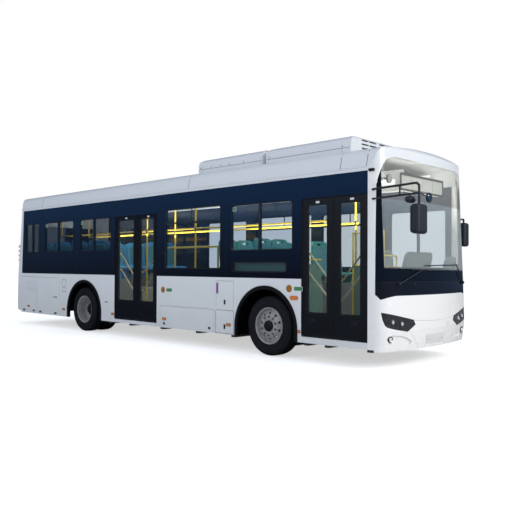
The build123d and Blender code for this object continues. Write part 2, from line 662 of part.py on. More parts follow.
def leaf_table():
    """name: jamb x, x of the meeting edge, sill, header, +1 where the leaf lies ahead of its jamb."""
    table = {}
    for door, (x0, x1, sill, header, split) in DOORS.items():
        table[door + "_door_aft"] = (x0, split - LEAF_GAP / 2, sill, header, 1)
        table[door + "_door_fore"] = (x1, split + LEAF_GAP / 2, sill, header, -1)
    return table


LEAVES = leaf_table()


def leaf_edges(name):
    jamb, meet, sill, header, way = LEAVES[name]
    return jamb + way * JAMB_GAP, meet, sill + 8, header - 8, way


def post_x(name):
    jamb, _, _, _, way = LEAVES[name]
    return jamb - way * POST_BACK


def pivot_x(name):
    """The leaf hangs on its arms here, halfway between the post and the meeting edge."""
    meet = LEAVES[name][1]
    return (post_x(name) + meet) / 2


def leaf_frame(name):
    tail, meet, z0, z1, way = leaf_edges(name)
    x0, x1 = sorted((tail, meet))
    out, inner = -LEAF_OUT_Y, -LEAF_OUT_Y + LEAF_THICK
    frame = block(ahead(x0), ahead(x1), out, inner, z0, z1)
    frame -= block(ahead(x0 + STILE), ahead(x1 - STILE), out - 10, inner + 10, *LEAF_GLASS)
    x, y = ahead(pivot_x(name)), -LEAF_MID_Y + POST_IN
    for z in (z0, z1 - HANGER):
        frame += block(x - 16, x + 16, inner - 2, y, z, z + HANGER)
        frame += Pos(x, y, z + HANGER / 2) * Cylinder(16, HANGER)
        frame -= Pos(x, y, z + HANGER / 2) * Cylinder(8.05, HANGER + 2)
    for ax, az, bx, bz in GRAB_RAILS[name]:
        a, b = (ahead(ax), inner + 45, az), (ahead(bx), inner + 45, bz)
        rail = rod(a, b, 13)
        for end in (a, b):
            rail += rod((end[0], inner - 1, end[2]), (end[0], inner + 45, end[2]), 11)
            rail += Pos(*end) * Sphere(13)
        frame += rail
    return frame


def leaf_glass(name):
    tail, meet, z0, z1, way = leaf_edges(name)
    x0, x1 = sorted((tail, meet))
    y = -LEAF_OUT_Y + 6
    return block(ahead(x0 + STILE), ahead(x1 - STILE), y, y + GLASS, *LEAF_GLASS)


def standing(x, y, z, radius, height):
    return Pos(x, y, z) * Cylinder(radius, height, align=(Align.CENTER, Align.CENTER, Align.MIN))


def door_arm(name):
    """Upright post beside the jamb, with one arm that passes under its leaf and one that passes over it."""
    _, _, z0, z1, _ = leaf_edges(name)
    x, y, end = ahead(post_x(name)), -LEAF_MID_Y + POST_IN, ahead(pivot_x(name))
    low, high = z0 - ARM_GAP - ARM_THICK, z1 + ARM_GAP
    base = FLOOR_Z + SEAT_GAP
    arm = standing(x, y, base, POST_RADIUS, high + ARM_THICK - base)
    for z, pin in ((low, z0 - ARM_GAP - 1), (high, z1 - HANGER)):
        arm += block(x, end, y - 14, y + 14, z, z + ARM_THICK)
        arm += standing(end, y, z, 14, ARM_THICK)
        arm += standing(end, y, pin, 8, HANGER + ARM_GAP + 1)
    return arm


# ---------------------------------------------------------------- roof equipment
POD_HALF = 960
POD_TOP = 3345
PODS = {"roof_pod_rear": (-1950, -360), "roof_pod_front": (-280, 1400)}
VENT_COLUMNS = [(-680, -280), (-200, 160), (250, 650)]
VENT_ROWS = (3300, 3240, 3180)


def roof_pod(name):
    x0, x1 = PODS[name]
    outline = [(x0, 2900), (x0, POD_TOP - 70), (x0 + 40, POD_TOP - 18), (x0 + 110, POD_TOP), (x1 - 60, POD_TOP), (x1 - 10, POD_TOP - 25),
               (x1, POD_TOP - 60), (x1, 2900)]
    across_outline = [(-POD_HALF, 2900), (-POD_HALF, 3230), (-POD_HALF + 20, 3290), (-POD_HALF + 80, 3330), (-POD_HALF + 170, POD_TOP + 10),
                      (POD_HALF - 170, POD_TOP + 10), (POD_HALF - 80, 3330), (POD_HALF - 20, 3290), (POD_HALF, 3230), (POD_HALF, 2900)]
    pod = side_prism(outline, -POD_HALF, POD_HALF) & front_prism(across_outline, x0, x1)
    pod -= OUTER
    pod -= block(ahead(x0), ahead(x1), -2000, 2000, 0, 3000)
    if name == "roof_pod_front":
        for y0, y1 in VENT_COLUMNS:
            for z in VENT_ROWS:
                half = (y1 - y0) / 2 - 10
                for a, b in ((y0, y0 + half), (y1 - half, y1)):
                    pod -= block(ahead(x1 - 40), ahead(x1 + 10), a, b, z - 13, z + 13)
    return pod


# ---------------------------------------------------------------- mirrors, wipers, sign
MIRROR_X = 2750                     # kerb-side mirror, ahead of the front axle


def mirror_head(deep, wide, high):
    return fillet(Box(deep, wide, high).edges(), 40)


def bulb(radius, half_length):
    """A long round-nosed mirror lying across the bus."""
    return Rot(90, 0, 0) * fillet(Cylinder(radius, 2 * half_length).edges(), radius - 6)


def mirrors():
    """Kerb-side mirror carried far ahead on a double tube, and a short-armed one on the driver's side."""
    x, y = ahead(MIRROR_X), -HALF_WIDTH - 150
    root, knee = (ahead(1945), -HALF_WIDTH + 60), (ahead(1990), -1290)
    arm = tube([(*root, 2460), (*knee, 2460), (x - 40, y + 10, 2475), (x, y, 2440), (x, y, 2180)], 15)
    arm += tube([(*root, 2330), (*knee, 2330), (x, y, 2345)], 13)
    brace = (knee[0] + 0.6 * (x - knee[0]), knee[1] + 0.6 * (y - knee[1]))
    arm += rod((*brace, 2340), (*brace, 2468), 11)
    arm -= OUTER
    arm += Pos(x, y, 2015) * mirror_head(120, 250, 375)
    arm += Pos(x - 130, y + 5, 2268) * bulb(45, 85) + rod((x - 130, y + 5, 2268), (x - 130, y + 3, 2343), 8)
    arm += Pos(x + 80, y + 105, 2285) * Rot(0, 90, 0) * Cylinder(60, 26) + rod((x + 80, y + 105, 2285), (x, y, 2345), 8)
    reach, out = ahead(2030), HALF_WIDTH + 95
    short = tube([(ahead(1945), HALF_WIDTH - 60, 2200), (reach, out, 2200), (reach, out, 2100)], 15) - OUTER
    return [arm, short + Pos(reach, out + 20, 1950) * mirror_head(110, 170, 390)]


# pivot, where the arm holds the blade, and the two ends of the blade, as y, z
WIPERS = [((-914, 1180), (-406, 1367), (-644, 1372), (274, 1356)), ((1040, 1170), (709, 1449), (-315, 1430), (826, 1450))]


def over_glass(start, end, lift, runs):
    """Points from one y, z to another, held off the front by lift."""
    points = []
    for k in range(runs + 1):
        y, z = [a + (b - a) * k / runs for a, b in zip(start, end)]
        points.append((ahead(skin_x(y, z) + lift), y, z))
    return points


def wipers():
    """Arms and blades lying close over the glass along its bow."""
    out = []
    for pivot, holder, start, stop in WIPERS:
        spindle = [over_glass(pivot, holder, lift, 1)[0] for lift in (-5, 36)]
        bow = ThreePointArc(*over_glass(start, stop, 14, 2))
        arm = rod(*spindle, 20) + rod(*over_glass(pivot, holder, 27, 1), 8)
        arm += sweep((bow ^ 0) * Circle(7), path=bow)
        arm += rod(over_glass(holder, stop, 36, 1)[0], over_glass(holder, stop, 12, 1)[0], 10)
        out.append(arm - OUTER)
    return out


def windscreen():
    return GLASS_SKIN & windscreen_region()


def wiper_cowl():
    return (MASK_SKIN & cowl_region()) - windscreen_region()


def destination_sign():
    sign = block(ahead(1930), ahead(2020), -620, 640, 2520, 2750)
    for y in (-400, 400):
        sign += block(ahead(CEILING_END), ahead(1935), y - 15, y + 15, 2700, CEILING_Z + 40)
    return sign


# ---------------------------------------------------------------- cabin
SEAT_HALF = 202
SEAT_Y = (965, 545)
# backrest x of the rows, floor, cushion height
PODIUM_ROWS = [(-1090, WELL_TOP, 1270), (-275, WELL_TOP, 1270)]
REAR_ROWS = [(-5200, WELL_TOP, 1370), (-5920, WELL_TOP, 1370), (-6650, PLATFORM_Z, 1370), (-7420, PLATFORM_Z, 1370)]
DRIVER_DECK = 560
DRIVER = (1000, 690, 980)           # backrest x, y, cushion height


def rounded_panel_across(x0, x1, y0, y1, z0, z1):
    """A slot with round ends that runs lengthwise through a backrest."""
    radius, z = (z1 - z0) / 2, (z0 + z1) / 2
    slot = block(ahead(x0), ahead(x1), y0 + radius, y1 - radius, z0, z1)
    for y in (y0 + radius, y1 - radius):
        slot += Pos(ahead((x0 + x1) / 2), y, z) * Rot(0, 90, 0) * Cylinder(radius, x1 - x0)
    return slot


def seat_shell(x, y, base, cushion, half=SEAT_HALF, leg_shift=70, back=600):
    """Moulded seat on a pedestal; x is the front of the backrest's foot."""
    outline = [(x - 110, cushion + back - 10), (x - 70, cushion + back), (x, cushion + 25), (x + 390, cushion + 40),
               (x + 425, cushion + 15), (x + 410, cushion - 15), (x - 10, cushion - 35), (x - 45, cushion)]
    shell = side_prism(outline, y - half, y + half)
    top = cushion + back
    shell &= front_prism([(y - half, cushion - 40), (y + half, cushion - 40), (y + half, top - 70), (y + half - 25, top - 18),
                          (y + half - 75, top), (y - half + 75, top), (y - half + 25, top - 18), (y - half, top - 70)],
                         x - 120, x + 440)
    shell -= rounded_panel_across(x - 120, x, y - 75, y + 75, top - 78, top - 42)
    leg = y + (leg_shift if y > 0 else -leg_shift)
    shell += block(ahead(x + 60), ahead(x + 300), leg - 25, leg + 25, base, cushion - 10)
    return shell


def passenger_seats():
    return [seat_shell(x, side * y, base, cushion)
            for side in (RIGHT, LEFT) for y in SEAT_Y for x, base, cushion in PODIUM_ROWS + REAR_ROWS]


def driver_seat():
    x, y, cushion = DRIVER
    return seat_shell(x, y, DRIVER_DECK, cushion, half=250, leg_shift=0, back=720)


def driver_partition():
    """Screen behind the driver and the low wall along the aisle, standing on the driver's deck."""
    screen = block(ahead(612), ahead(636), 215, HALF_WIDTH - WALL - 20, DRIVER_DECK, 1980)
    wall = side_prism([(612, DRIVER_DECK), (1300, DRIVER_DECK), (1300, 1330), (1200, 1420), (612, 1420)], 215, 240)
    return screen + wall


RAIL_RADIUS = 17
AISLE_RAIL = (385, 2150)            # overhead rail, y and z
POLES = [(-4260, LEFT), (-2690, LEFT), (560, LEFT), (-4260, RIGHT), (-2690, RIGHT), (560, RIGHT)]


def handrails():
    """Poles from floor to ceiling duct, tied by one overhead rail along each side of the aisle."""
    frames = []
    y, z = AISLE_RAIL
    for side in (RIGHT, LEFT):
        frame = rod((ahead(-7800), side * y, z), (ahead(610), side * y, z), RAIL_RADIUS)
        frame += rod((ahead(-7800), side * y, z), (ahead(-7800), side * y, CEILING_Z), RAIL_RADIUS)
        frame += Pos(ahead(-7800), side * y, z) * Sphere(RAIL_RADIUS)
        for x, which in POLES:
            if which == side:
                frame += rod((ahead(x), side * y, FLOOR_Z), (ahead(x), side * y, CEILING_Z), RAIL_RADIUS)
        frames.append(frame)
    wall = HALF_WIDTH - WALL
    back, front = (ahead(-2590), -wall + 70, 1750), (ahead(-1250), -wall + 70, 1750)
    bar = rod(back, front, RAIL_RADIUS) + Pos(*back) * Sphere(RAIL_RADIUS) + Pos(*front) * Sphere(RAIL_RADIUS)
    bar += rod(back, (back[0], -wall, back[2]), RAIL_RADIUS) + rod((front[0], front[1], FLOOR_Z), front, RAIL_RADIUS)
    return frames + [bar]


DASH_RIGHT = -560                   # clear of the open front door


def dashboard():
    """Console across the front with the driver's binnacle, column and steering wheel."""
    shelf = block(ahead(1900), ahead(1990), DASH_RIGHT, 1100, 1130, 1180)
    shelf += block(ahead(1900), ahead(1940), DASH_RIGHT, 1100, FLOOR_Z, 1150)
    x0 = 1560
    shelf += side_prism([(x0, 1080), (x0 + 40, 1250), (x0 + 150, 1300), (1980, 1240), (1980, 1120), (x0 + 200, 1040)], 350, 1060)
    hub = (ahead(1430), DRIVER[1], 1300)
    wheel = Pos(*hub) * Rot(0, -25, 0) * (Torus(225, 16) + Cylinder(45, 40) + Box(30, 440, 16) + Box(440, 30, 16))
    shelf += wheel + rod(hub, (ahead(1640), DRIVER[1], 1130), 32)
    return shelf


# ---------------------------------------------------------------- every sub-part, one file each
def parts():
    table = {
        "chassis_frame": chassis_frame(),
        "floor": floor(),
        "roof_shell": roof_shell(),
        "ceiling": ceiling(),
        "front_mask": front_mask(),
        "front_bumper": front_bumper(),
        "wiper_cowl": wiper_cowl(),
        "rear_panel": rear_panel(),
        "windscreen": windscreen(),
        "window_glass": window_glass(),
        "arch_trims": arch_trims(),
        "front_axle": front_axle(),
        "rear_axle": rear_axle(),
        "battery_pack": battery_pack(),
        "passenger_seats": passenger_seats(),
        "driver_seat": driver_seat(),
        "driver_partition": driver_partition(),
        "handrails": handrails(),
        "dashboard": dashboard(),
        "mirrors": mirrors(),
        "wipers": wipers(),
        "headlamps": headlamps(),
        "tail_lamps": tail_lamps(),
        "destination_sign": destination_sign(),
        "engine_lid": engine_lid(),
    }
    for label, side in (("right", RIGHT), ("left", LEFT)):
        table["side_skirt_" + label] = side_skirt(side)
        table["window_band_" + label] = window_band(side)
        table["knuckle_" + label] = knuckle(side)
        table["front_tyre_" + label] = front_tyre(side)
        table["front_rim_" + label] = front_rim(side)
        table["rear_tyres_" + label] = rear_tyres(side)
        table["rear_rims_" + label] = rear_rims(side)
    for name in PODS:
        table[name] = roof_pod(name)
    for name in FLAPS:
        table[name] = flap(name)
    for name in LEAVES:
        table[name] = leaf_frame(name)
        table[name + "_glass"] = leaf_glass(name)
        table[name + "_arm"] = door_arm(name)
    return table


def main():
    os.makedirs("parts", exist_ok=True)
    for name, shape in parts().items():
        solids = []
        for piece in (shape if isinstance(shape, list) else [shape]):
            solids += piece.solids()
        export_step(solids[0] if len(solids) == 1 else Compound(children=solids), f"parts/{name}.step")


main()
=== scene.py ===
"""Looks of the low-floor city bus: finishes, tread, trim, seals, lamps and fittings round the CAD frame.

Metres. +X is forward, +Y is left, +Z is up, with the origin on the ground at the middle of the bus.
"""
from math import cos, pi, radians, sin, sqrt, tau

import bmesh
import bpy
from mathutils import Matrix, Vector


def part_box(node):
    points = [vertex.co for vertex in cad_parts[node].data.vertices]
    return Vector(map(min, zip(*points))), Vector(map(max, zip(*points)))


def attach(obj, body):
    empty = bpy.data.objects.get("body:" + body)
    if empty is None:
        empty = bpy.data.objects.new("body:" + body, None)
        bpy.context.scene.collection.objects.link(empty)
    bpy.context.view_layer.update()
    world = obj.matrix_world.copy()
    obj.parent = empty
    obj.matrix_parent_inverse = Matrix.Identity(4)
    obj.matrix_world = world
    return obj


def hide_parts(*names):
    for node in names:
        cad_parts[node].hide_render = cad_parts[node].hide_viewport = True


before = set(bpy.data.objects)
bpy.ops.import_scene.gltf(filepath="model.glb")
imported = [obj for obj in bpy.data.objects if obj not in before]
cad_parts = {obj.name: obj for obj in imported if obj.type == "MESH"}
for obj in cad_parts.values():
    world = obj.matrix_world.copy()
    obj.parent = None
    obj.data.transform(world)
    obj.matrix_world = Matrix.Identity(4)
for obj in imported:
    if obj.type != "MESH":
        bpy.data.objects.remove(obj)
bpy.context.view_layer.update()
scene = bpy.context.scene

# ---------------------------------------------------------------- camera
CAMERA_AT = Vector((9.6017, -8.5889, 1.3927))
CAMERA_YAW, CAMERA_PITCH, CAMERA_ROLL = -0.7607, 0.018, 0.0051
CAMERA_LENS = 44.62


def make_camera():
    data = bpy.data.cameras.new("camera")
    camera = bpy.data.objects.new("camera", data)
    scene.collection.objects.link(camera)
    scene.camera = camera
    data.lens = CAMERA_LENS
    data.sensor_width = 36
    ahead = Vector((sin(CAMERA_YAW) * cos(CAMERA_PITCH), cos(CAMERA_YAW) * cos(CAMERA_PITCH), sin(CAMERA_PITCH)))
    level = Vector((cos(CAMERA_YAW), -sin(CAMERA_YAW), 0))
    above = level.cross(ahead)
    right = cos(CAMERA_ROLL) * level + sin(CAMERA_ROLL) * above
    up = cos(CAMERA_ROLL) * above - sin(CAMERA_ROLL) * level
    turn = Matrix((right, up, -ahead)).transposed()
    camera.matrix_world = Matrix.Translation(CAMERA_AT) @ turn.to_4x4()


make_camera()

# ---------------------------------------------------------------- places read from the frame
SIDE_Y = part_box("window_band_left")[1].y
FRONT_RIM, REAR_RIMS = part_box("front_rim_left"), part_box("rear_rims_left")
FRONT_AXLE_X = (FRONT_RIM[0].x + FRONT_RIM[1].x) / 2
REAR_AXLE_X = (REAR_RIMS[0].x + REAR_RIMS[1].x) / 2
HUB_Z = (FRONT_RIM[0].z + FRONT_RIM[1].z) / 2
TYRE_RADIUS = HUB_Z
RIGHT, LEFT = -1, 1
SIDES = {"right": RIGHT, "left": LEFT}


def ahead(distance):
    """X of a place given by its distance ahead of the front axle."""
    return FRONT_AXLE_X + distance


# ---------------------------------------------------------------- shader maths
class Value:
    """A shader socket that takes part in sums."""

    def __init__(self, finish, socket):
        self.finish = finish
        self.socket = socket

    def math(self, operation, *others, clamp=False):
        node = self.finish.make("Math", {"operation": operation, "use_clamp": clamp},
                                **dict(enumerated(self, *others)))
        return Value(self.finish, node.outputs[0])

    def __add__(self, other):
        return self.math("ADD", other)

    def __sub__(self, other):
        return self.math("SUBTRACT", other)

    def __mul__(self, other):
        return self.math("MULTIPLY", other)

    def __truediv__(self, other):
        return self.math("DIVIDE", other)

    def __radd__(self, other):
        return self + other

    def __rmul__(self, other):
        return self * other

    def __rsub__(self, other):
        return self * -1.0 + other

    def __rtruediv__(self, other):
        return self.math("POWER", -1.0) * other

    def __neg__(self):
        return self * -1.0

    def absolute(self):
        return self.math("ABSOLUTE")

    def above(self, level, soft=0.0):
        """0 below level, 1 above it, with a soft step if asked."""
        if not soft:
            return self.math("GREATER_THAN", level)
        return ((self - (level - soft / 2)) / soft).math("ADD", 0.0, clamp=True)

    def below(self, level, soft=0.0):
        return 1.0 - self.above(level, soft)

    def within(self, low, high, soft=0.0):
        return self.above(low, soft) * self.below(high, soft)


def enumerated(*values):
    return [(f"_{n}", v) for n, v in enumerate(values)]


class Finish:
    """One material: constants sit on its Principled shader and varying values are fed to it."""

    def __init__(self, name, color, roughness=0.5, metallic=0.0, **constants):
        self.material = bpy.data.materials.new(name)
        self.material.use_nodes = True
        self.tree = self.material.node_tree
        self.tree.nodes.clear()
        self.shader = self.make("BsdfPrincipled")
        self.output = self.make("OutputMaterial", Surface=self.shader.outputs[0])
        self.color = color
        self.shader.inputs["Base Color"].default_value = (*color, 1)
        self.shader.inputs["Roughness"].default_value = roughness
        self.shader.inputs["Metallic"].default_value = metallic
        for socket, value in constants.items():
            self.shader.inputs[socket.replace("_", " ")].default_value = value

    def make(self, kind, settings=None, **sockets):
        """Makes a node: its type, then its settings, then its sockets by name or, as _0 and _1, by place."""
        node = self.tree.nodes.new("ShaderNode" + kind)
        for key, value in (settings or {}).items():
            setattr(node, key, value)
        for key, value in sockets.items():
            socket = node.inputs[int(key[1:])] if key[0] == "_" else node.inputs[key]
            self.put(socket, value)
        return node

    def put(self, socket, value):
        if isinstance(value, Value):
            value = value.socket
        if isinstance(value, bpy.types.NodeSocket):
            self.tree.links.new(value, socket)
        elif socket.type == "RGBA" and len(value) == 3:
            socket.default_value = (*value, 1)
        else:
            socket.default_value = value

    def feed(self, name, value):
        self.put(self.shader.inputs[name], value)
        return self

    def show(self, base, rough=None, *grain):
        """Feeds the base colour and, where given, the roughness and a bump."""
        self.feed("Base Color", base)
        if rough is not None:
            self.feed("Roughness", rough)
        return self.bump(*grain) if grain else self

    def place(self):
        """The point's place on the object, in metres."""
        return self.make("TexCoord").outputs["Object"]

    def axes(self):
        split = self.make("SeparateXYZ", _0=self.place())
        return [Value(self, out) for out in split.outputs]

    def grid(self, scale):
        """Rows of dots over y and z."""
        y, z = self.axes()[1:]
        return (y * scale).math("SINE") * (z * scale).math("SINE")

    def noise(self, scale, detail=3.0, roughness=0.5, at=None):
        node = self.make("TexNoise", Vector=at or self.place(), Scale=scale, Detail=detail, Roughness=roughness)
        return Value(self, node.outputs[0])

    def cells(self, scale, output="Distance", at=None):
        node = self.make("TexVoronoi", Vector=at or self.place(), Scale=scale)
        return Value(self, node.outputs[output])

    def mix(self, factor, first, second):
        """A colour between two others."""
        node = self.make("Mix", {"data_type": "RGBA"})
        self.put(node.inputs[0], factor)
        self.put(node.inputs[6], first)
        self.put(node.inputs[7], second)
        return node.outputs[2]

    def bump(self, height, strength=0.2, distance=0.002):
        node = self.make("Bump", Height=height, Strength=strength, Distance=distance)
        return self.feed("Normal", node.outputs[0])


def road_dust(finish, top, amount, tint=(0.42, 0.40, 0.37)):
    """How far up from the ground a thin film of dust lies."""
    z = finish.axes()[2]
    patch = finish.noise(2.3, 4.0)
    return (z.below(top, top * 0.9) * (patch + 0.2) * amount), tint


# ---------------------------------------------------------------- finishes
def body_paint():
    # The bluish grey, darker and cooler than the warm white of the mask, is painted shade: the bus has one white
    # paint, and this copy of it carries the shade that falls on its sides.
    finish = Finish("body_paint", (0.80, 0.815, 0.835), 0.32, Coat_Weight=0.7, Coat_Roughness=0.06)
    dust, tint = road_dust(finish, 0.9, 0.22)
    cloud = finish.noise(0.8, 2.0)
    return finish.show(finish.mix(dust, finish.mix(cloud * 0.08, finish.color, (0.7, 0.73, 0.78)), tint),
                       finish.noise(5.0) * 0.1 + 0.26 + dust * 0.5, finish.noise(320.0, 2.0), 0.05, 0.0005)


def mask_white():
    finish = Finish("mask_white", (0.91, 0.90, 0.885), 0.28, Coat_Weight=0.8, Coat_Roughness=0.05)
    dust, tint = road_dust(finish, 0.5, 0.03)
    return finish.show(finish.mix(dust, finish.color, tint), finish.noise(7.0) * 0.08 + 0.22 + dust * 0.4,
                       finish.noise(280.0, 2.0), 0.05, 0.0005)


def drifting(name, color, other, amount, patch, rough, metallic=0.0, **constants):
    """Colour and roughness follow one noise: patch is its scale and detail, rough its gain and start."""
    finish = Finish(name, color, rough[1], metallic, **constants)
    drift = finish.noise(*patch)
    return finish.show(finish.mix(drift * amount, color, other), drift * rough[0] + rough[1])


def band_black():
    finish = Finish("band_black", (0.004, 0.004, 0.008), 0.10, Specular_IOR_Level=0.3)
    smear = finish.noise(3.0, 5.0, 0.6)
    # Painted reflection: from black at the foot of the band the colour turns navy towards its top, a painted
    # reflection of the sky.
    height = (finish.axes()[2] - 1.23) / 1.5
    return finish.show(finish.mix(height * 0.9 + smear * 0.1, finish.color, (0.008, 0.024, 0.060)),
                       smear * 0.08 + 0.04)


def gloss_black(name, color):
    finish = Finish(name, color, 0.15, Coat_Weight=0.6, Coat_Roughness=0.05)
    dust, tint = road_dust(finish, 1.0, 0.02)
    return finish.show(finish.mix(dust, color, tint), finish.noise(9.0) * 0.12 + 0.1 + dust)


def grained(name, color, roughness=0.6, grain=900.0, wear=0.06):
    """Moulded or powder-coated surface with a fine grain."""
    finish = Finish(name, color, roughness)
    patch = finish.noise(4.0, 5.0)
    dark = tuple(c * 0.72 for c in color)
    return finish.show(finish.mix(patch * wear * 4, color, dark), patch * 0.15 + (roughness - 0.07),
                       finish.noise(grain, 2.0), 0.18, 0.0006)


def glint(finish):
    """How much of a pane's outer face shows reflections: little straight on and more at a slant."""
    slant = Value(finish, finish.make("Fresnel", IOR=1.5).outputs[0])
    inward = Value(finish, finish.make("NewGeometry").outputs["Backfacing"])
    return slant * (1.0 - inward)


def see_through(finish, solid, clear):
    """Shows the finish where solid is 1 and lets light of the colour clear pass where it is 0."""
    pane = finish.make("BsdfTransparent", Color=clear)
    mixed = finish.make("MixShader", _0=solid.math("MINIMUM", 1.0), _1=pane.outputs[0], _2=finish.shader.outputs[0])
    finish.put(finish.output.inputs[0], mixed.outputs[0])
    return finish


# x up to which the side panes are smoked
SMOKED_UP_TO = ahead(-4.25)


def glass(name, color, clear, roughness=0.02, haze=0.0):
    """A pane: clear is the light that each of its faces lets through."""
    finish = Finish(name, color, roughness)
    wipe = finish.noise(1.6, 4.0, 0.6)
    finish.feed("Roughness", wipe * 0.04 + roughness)
    x, y, _ = finish.axes()
    smoked = x.below(SMOKED_UP_TO)
    finish.feed("Base Color", finish.mix(smoked, color, (0.003, 0.010, 0.024)))
    # The smoked panes on the left, seen only through the bus, are made more opaque than those on the right: painted
    # shade that darkens the view through the cabin.
    solid = glint(finish) + wipe * 0.02 + haze + smoked * (y.above(0) * 0.40 + 0.42)
    return see_through(finish, solid, clear)


SCREEN_FRIT_Z, SCREEN_FRIT_Y, SCREEN_TINT_Z = 1.376, 1.165, 2.34


def windscreen_glass():
    """Clear in the middle, printed black along the bottom and the sides, with a smoked strip at the top."""
    finish = Finish("screen_glass", (0.02, 0.02, 0.02), 0.03)
    y, z = finish.axes()[1:]
    sill = z + y * 0.0168
    low = sill.below(SCREEN_FRIT_Z, 0.006)
    edge = y.absolute().above(SCREEN_FRIT_Y, 0.01)
    smoke = z.above(SCREEN_TINT_Z, 0.012)
    dots = finish.grid(420.0).above(0.35, 0.1) * sill.below(SCREEN_FRIT_Z + 0.022)
    frit = (low + edge + dots).math("MINIMUM", 1.0)
    finish.feed("Base Color", finish.mix(frit, finish.mix(smoke, (0.62, 0.66, 0.66), (0.30, 0.29, 0.27)),
                                         (0.004, 0.006, 0.011)))
    wipe = finish.noise(1.3, 4.0, 0.6)
    finish.feed("Roughness", wipe * 0.04 + 0.02)
    return see_through(finish, glint(finish) + wipe * 0.02 + 0.12 + smoke * 0.12 + frit, (0.95, 0.97, 0.965))


PARTITION_TOP_Z = 1.43


def partition_panel():
    """Green laminate below the rail and clear glass above it."""
    finish = drifting("partition_green", (0.13, 0.23, 0.20), (0.10, 0.18, 0.16), 0.3, (4.0, 5.0), (0.15, 0.33))
    return see_through(finish, finish.axes()[2].below(PARTITION_TOP_Z) + glint(finish) + 0.02, (0.95, 0.97, 0.97))


def tyre_rubber():
    finish = Finish("tyre_rubber", (0.007, 0.008, 0.012), 0.75, Specular_IOR_Level=0.2)
    dust = finish.noise(9.0, 6.0, 0.65)
    return finish.show(finish.mix(dust.above(0.45, 0.5) * 0.25, finish.color, (0.04, 0.04, 0.045)),
                       dust * 0.2 + 0.6, finish.noise(500.0, 3.0), 0.3, 0.001)


def rim_silver():
    finish = Finish("rim_silver", (0.52, 0.50, 0.49), 0.42, 0.3)
    grime = finish.noise(14.0, 6.0, 0.6)
    return finish.show(finish.mix(grime.above(0.5, 0.4) * 0.55, finish.color, (0.16, 0.14, 0.13)),
                       grime * 0.3 + 0.25, finish.noise(260.0), 0.08, 0.0008)


def underseal():
    finish = Finish("underseal", (0.02, 0.02, 0.022), 0.85)
    dust, tint = road_dust(finish, 0.8, 0.5, (0.16, 0.14, 0.12))
    return finish.show(finish.mix(dust, finish.color, tint), None, finish.noise(60.0, 5.0), 0.5, 0.003)


def floor_vinyl():
    finish = Finish("floor_vinyl", (0.20, 0.21, 0.22), 0.62)
    fleck = finish.mix(finish.cells(140.0, "Color").above(0.72, 0.05) * 0.5, finish.color, (0.42, 0.43, 0.43))
    x, y, z = finish.axes()
    front_well = x.within(ahead(-0.706), ahead(0.586)) * y.absolute().above(0.6045)
    rear_well = x.within(ahead(-6.006), ahead(-4.649)) * y.absolute().above(0.5745)
    well = (front_well + rear_well).math("MINIMUM", 1.0) * z.below(1.1155)
    return finish.show(finish.mix(well, fleck, (0.004, 0.004, 0.006)), finish.noise(6.0) * 0.2 + 0.5,
                       finish.noise(240.0), 0.25, 0.0008)


def seat_blue():
    finish = Finish("seat_blue", (0.06, 0.36, 0.72), 0.42, Coat_Weight=0.15)
    sheen = finish.noise(5.0, 3.0)
    # The seats on the podium are the same blue as the rest; the teal mixed in there is painted, standing in for the
    # tint and shade of the glass in front of them.
    podium_painted_glass_tint = finish.axes()[0].within(ahead(-1.35), ahead(0.35))
    return finish.show(finish.mix(podium_painted_glass_tint, finish.mix(sheen * 0.3, finish.color, (0.03, 0.25, 0.55)),
                                  (0.05, 0.30, 0.30)), sheen * 0.15 + 0.35, finish.noise(700.0), 0.12, 0.0005)


def cloth(name, color):
    finish = Finish(name, color, 0.9, Sheen_Weight=0.3)
    x, _, z = finish.axes()
    weave = (x * 900.0).math("SINE") * (z * 900.0).math("SINE")
    return finish.show(finish.mix(weave * 0.25 + 0.25, color, tuple(c * 0.55 for c in color)), weave * 0.05 + 0.88,
                       weave, 0.3, 0.0008)


def rail_yellow():
    other = (0.55, 0.36, 0.03)
    return drifting("rail_yellow", (0.72, 0.50, 0.035), other, 0.25, (12.0, 4.0), (0.15, 0.28), Coat_Weight=0.3)


def rail_gold():
    finish = Finish("rail_gold", (0.62, 0.56, 0.38), 0.3, 0.6)
    return finish.feed("Roughness", finish.noise(60.0, 3.0) * 0.2 + 0.22)


def lens(name, color):
    finish = Finish(name, color, 0.1, Coat_Weight=1.0, Coat_Roughness=0.02)
    x, y, z = finish.axes()
    ribs = (y * 420.0 + x * 420.0).math("SINE") * (z * 420.0).math("SINE")
    pale = tuple(min(1, c * 1.7 + 0.02) for c in color)
    return finish.show(finish.mix(ribs * 0.2 + 0.2, color, pale), None, ribs, 0.4, 0.001)


def blank_display():
    pale = (0.80, 0.80, 0.76)
    finish = Finish("blank_display", pale, 0.5, Emission_Color=(*pale, 1), Emission_Strength=0.4)
    dots = finish.grid(520.0)
    return finish.show(finish.mix(dots * 0.2 + 0.2, finish.color, (0.5, 0.5, 0.48)), None, dots, 0.2, 0.0006)


def bright_metal(name, color=(0.62, 0.62, 0.60), roughness=0.25):
    dark = tuple(c * 0.7 for c in color)
    return drifting(name, color, dark, 0.3, (90.0, 4.0), (0.2, roughness - 0.1), 1.0)


def plain_film(name, color):
    """Printed plastic film, a little worn."""
    pale = tuple(min(1.0, c * 1.2 + 0.02) for c in color)
    return drifting(name, color, pale, 0.25, (40.0, 4.0), (0.2, 0.3), Coat_Weight=0.4)


def mirror_glass():
    return drifting("mirror_glass", (0.62, 0.64, 0.66), (0.5, 0.52, 0.54), 0.15, (20.0, 4.0), (0.06, 0.02), 1.0)


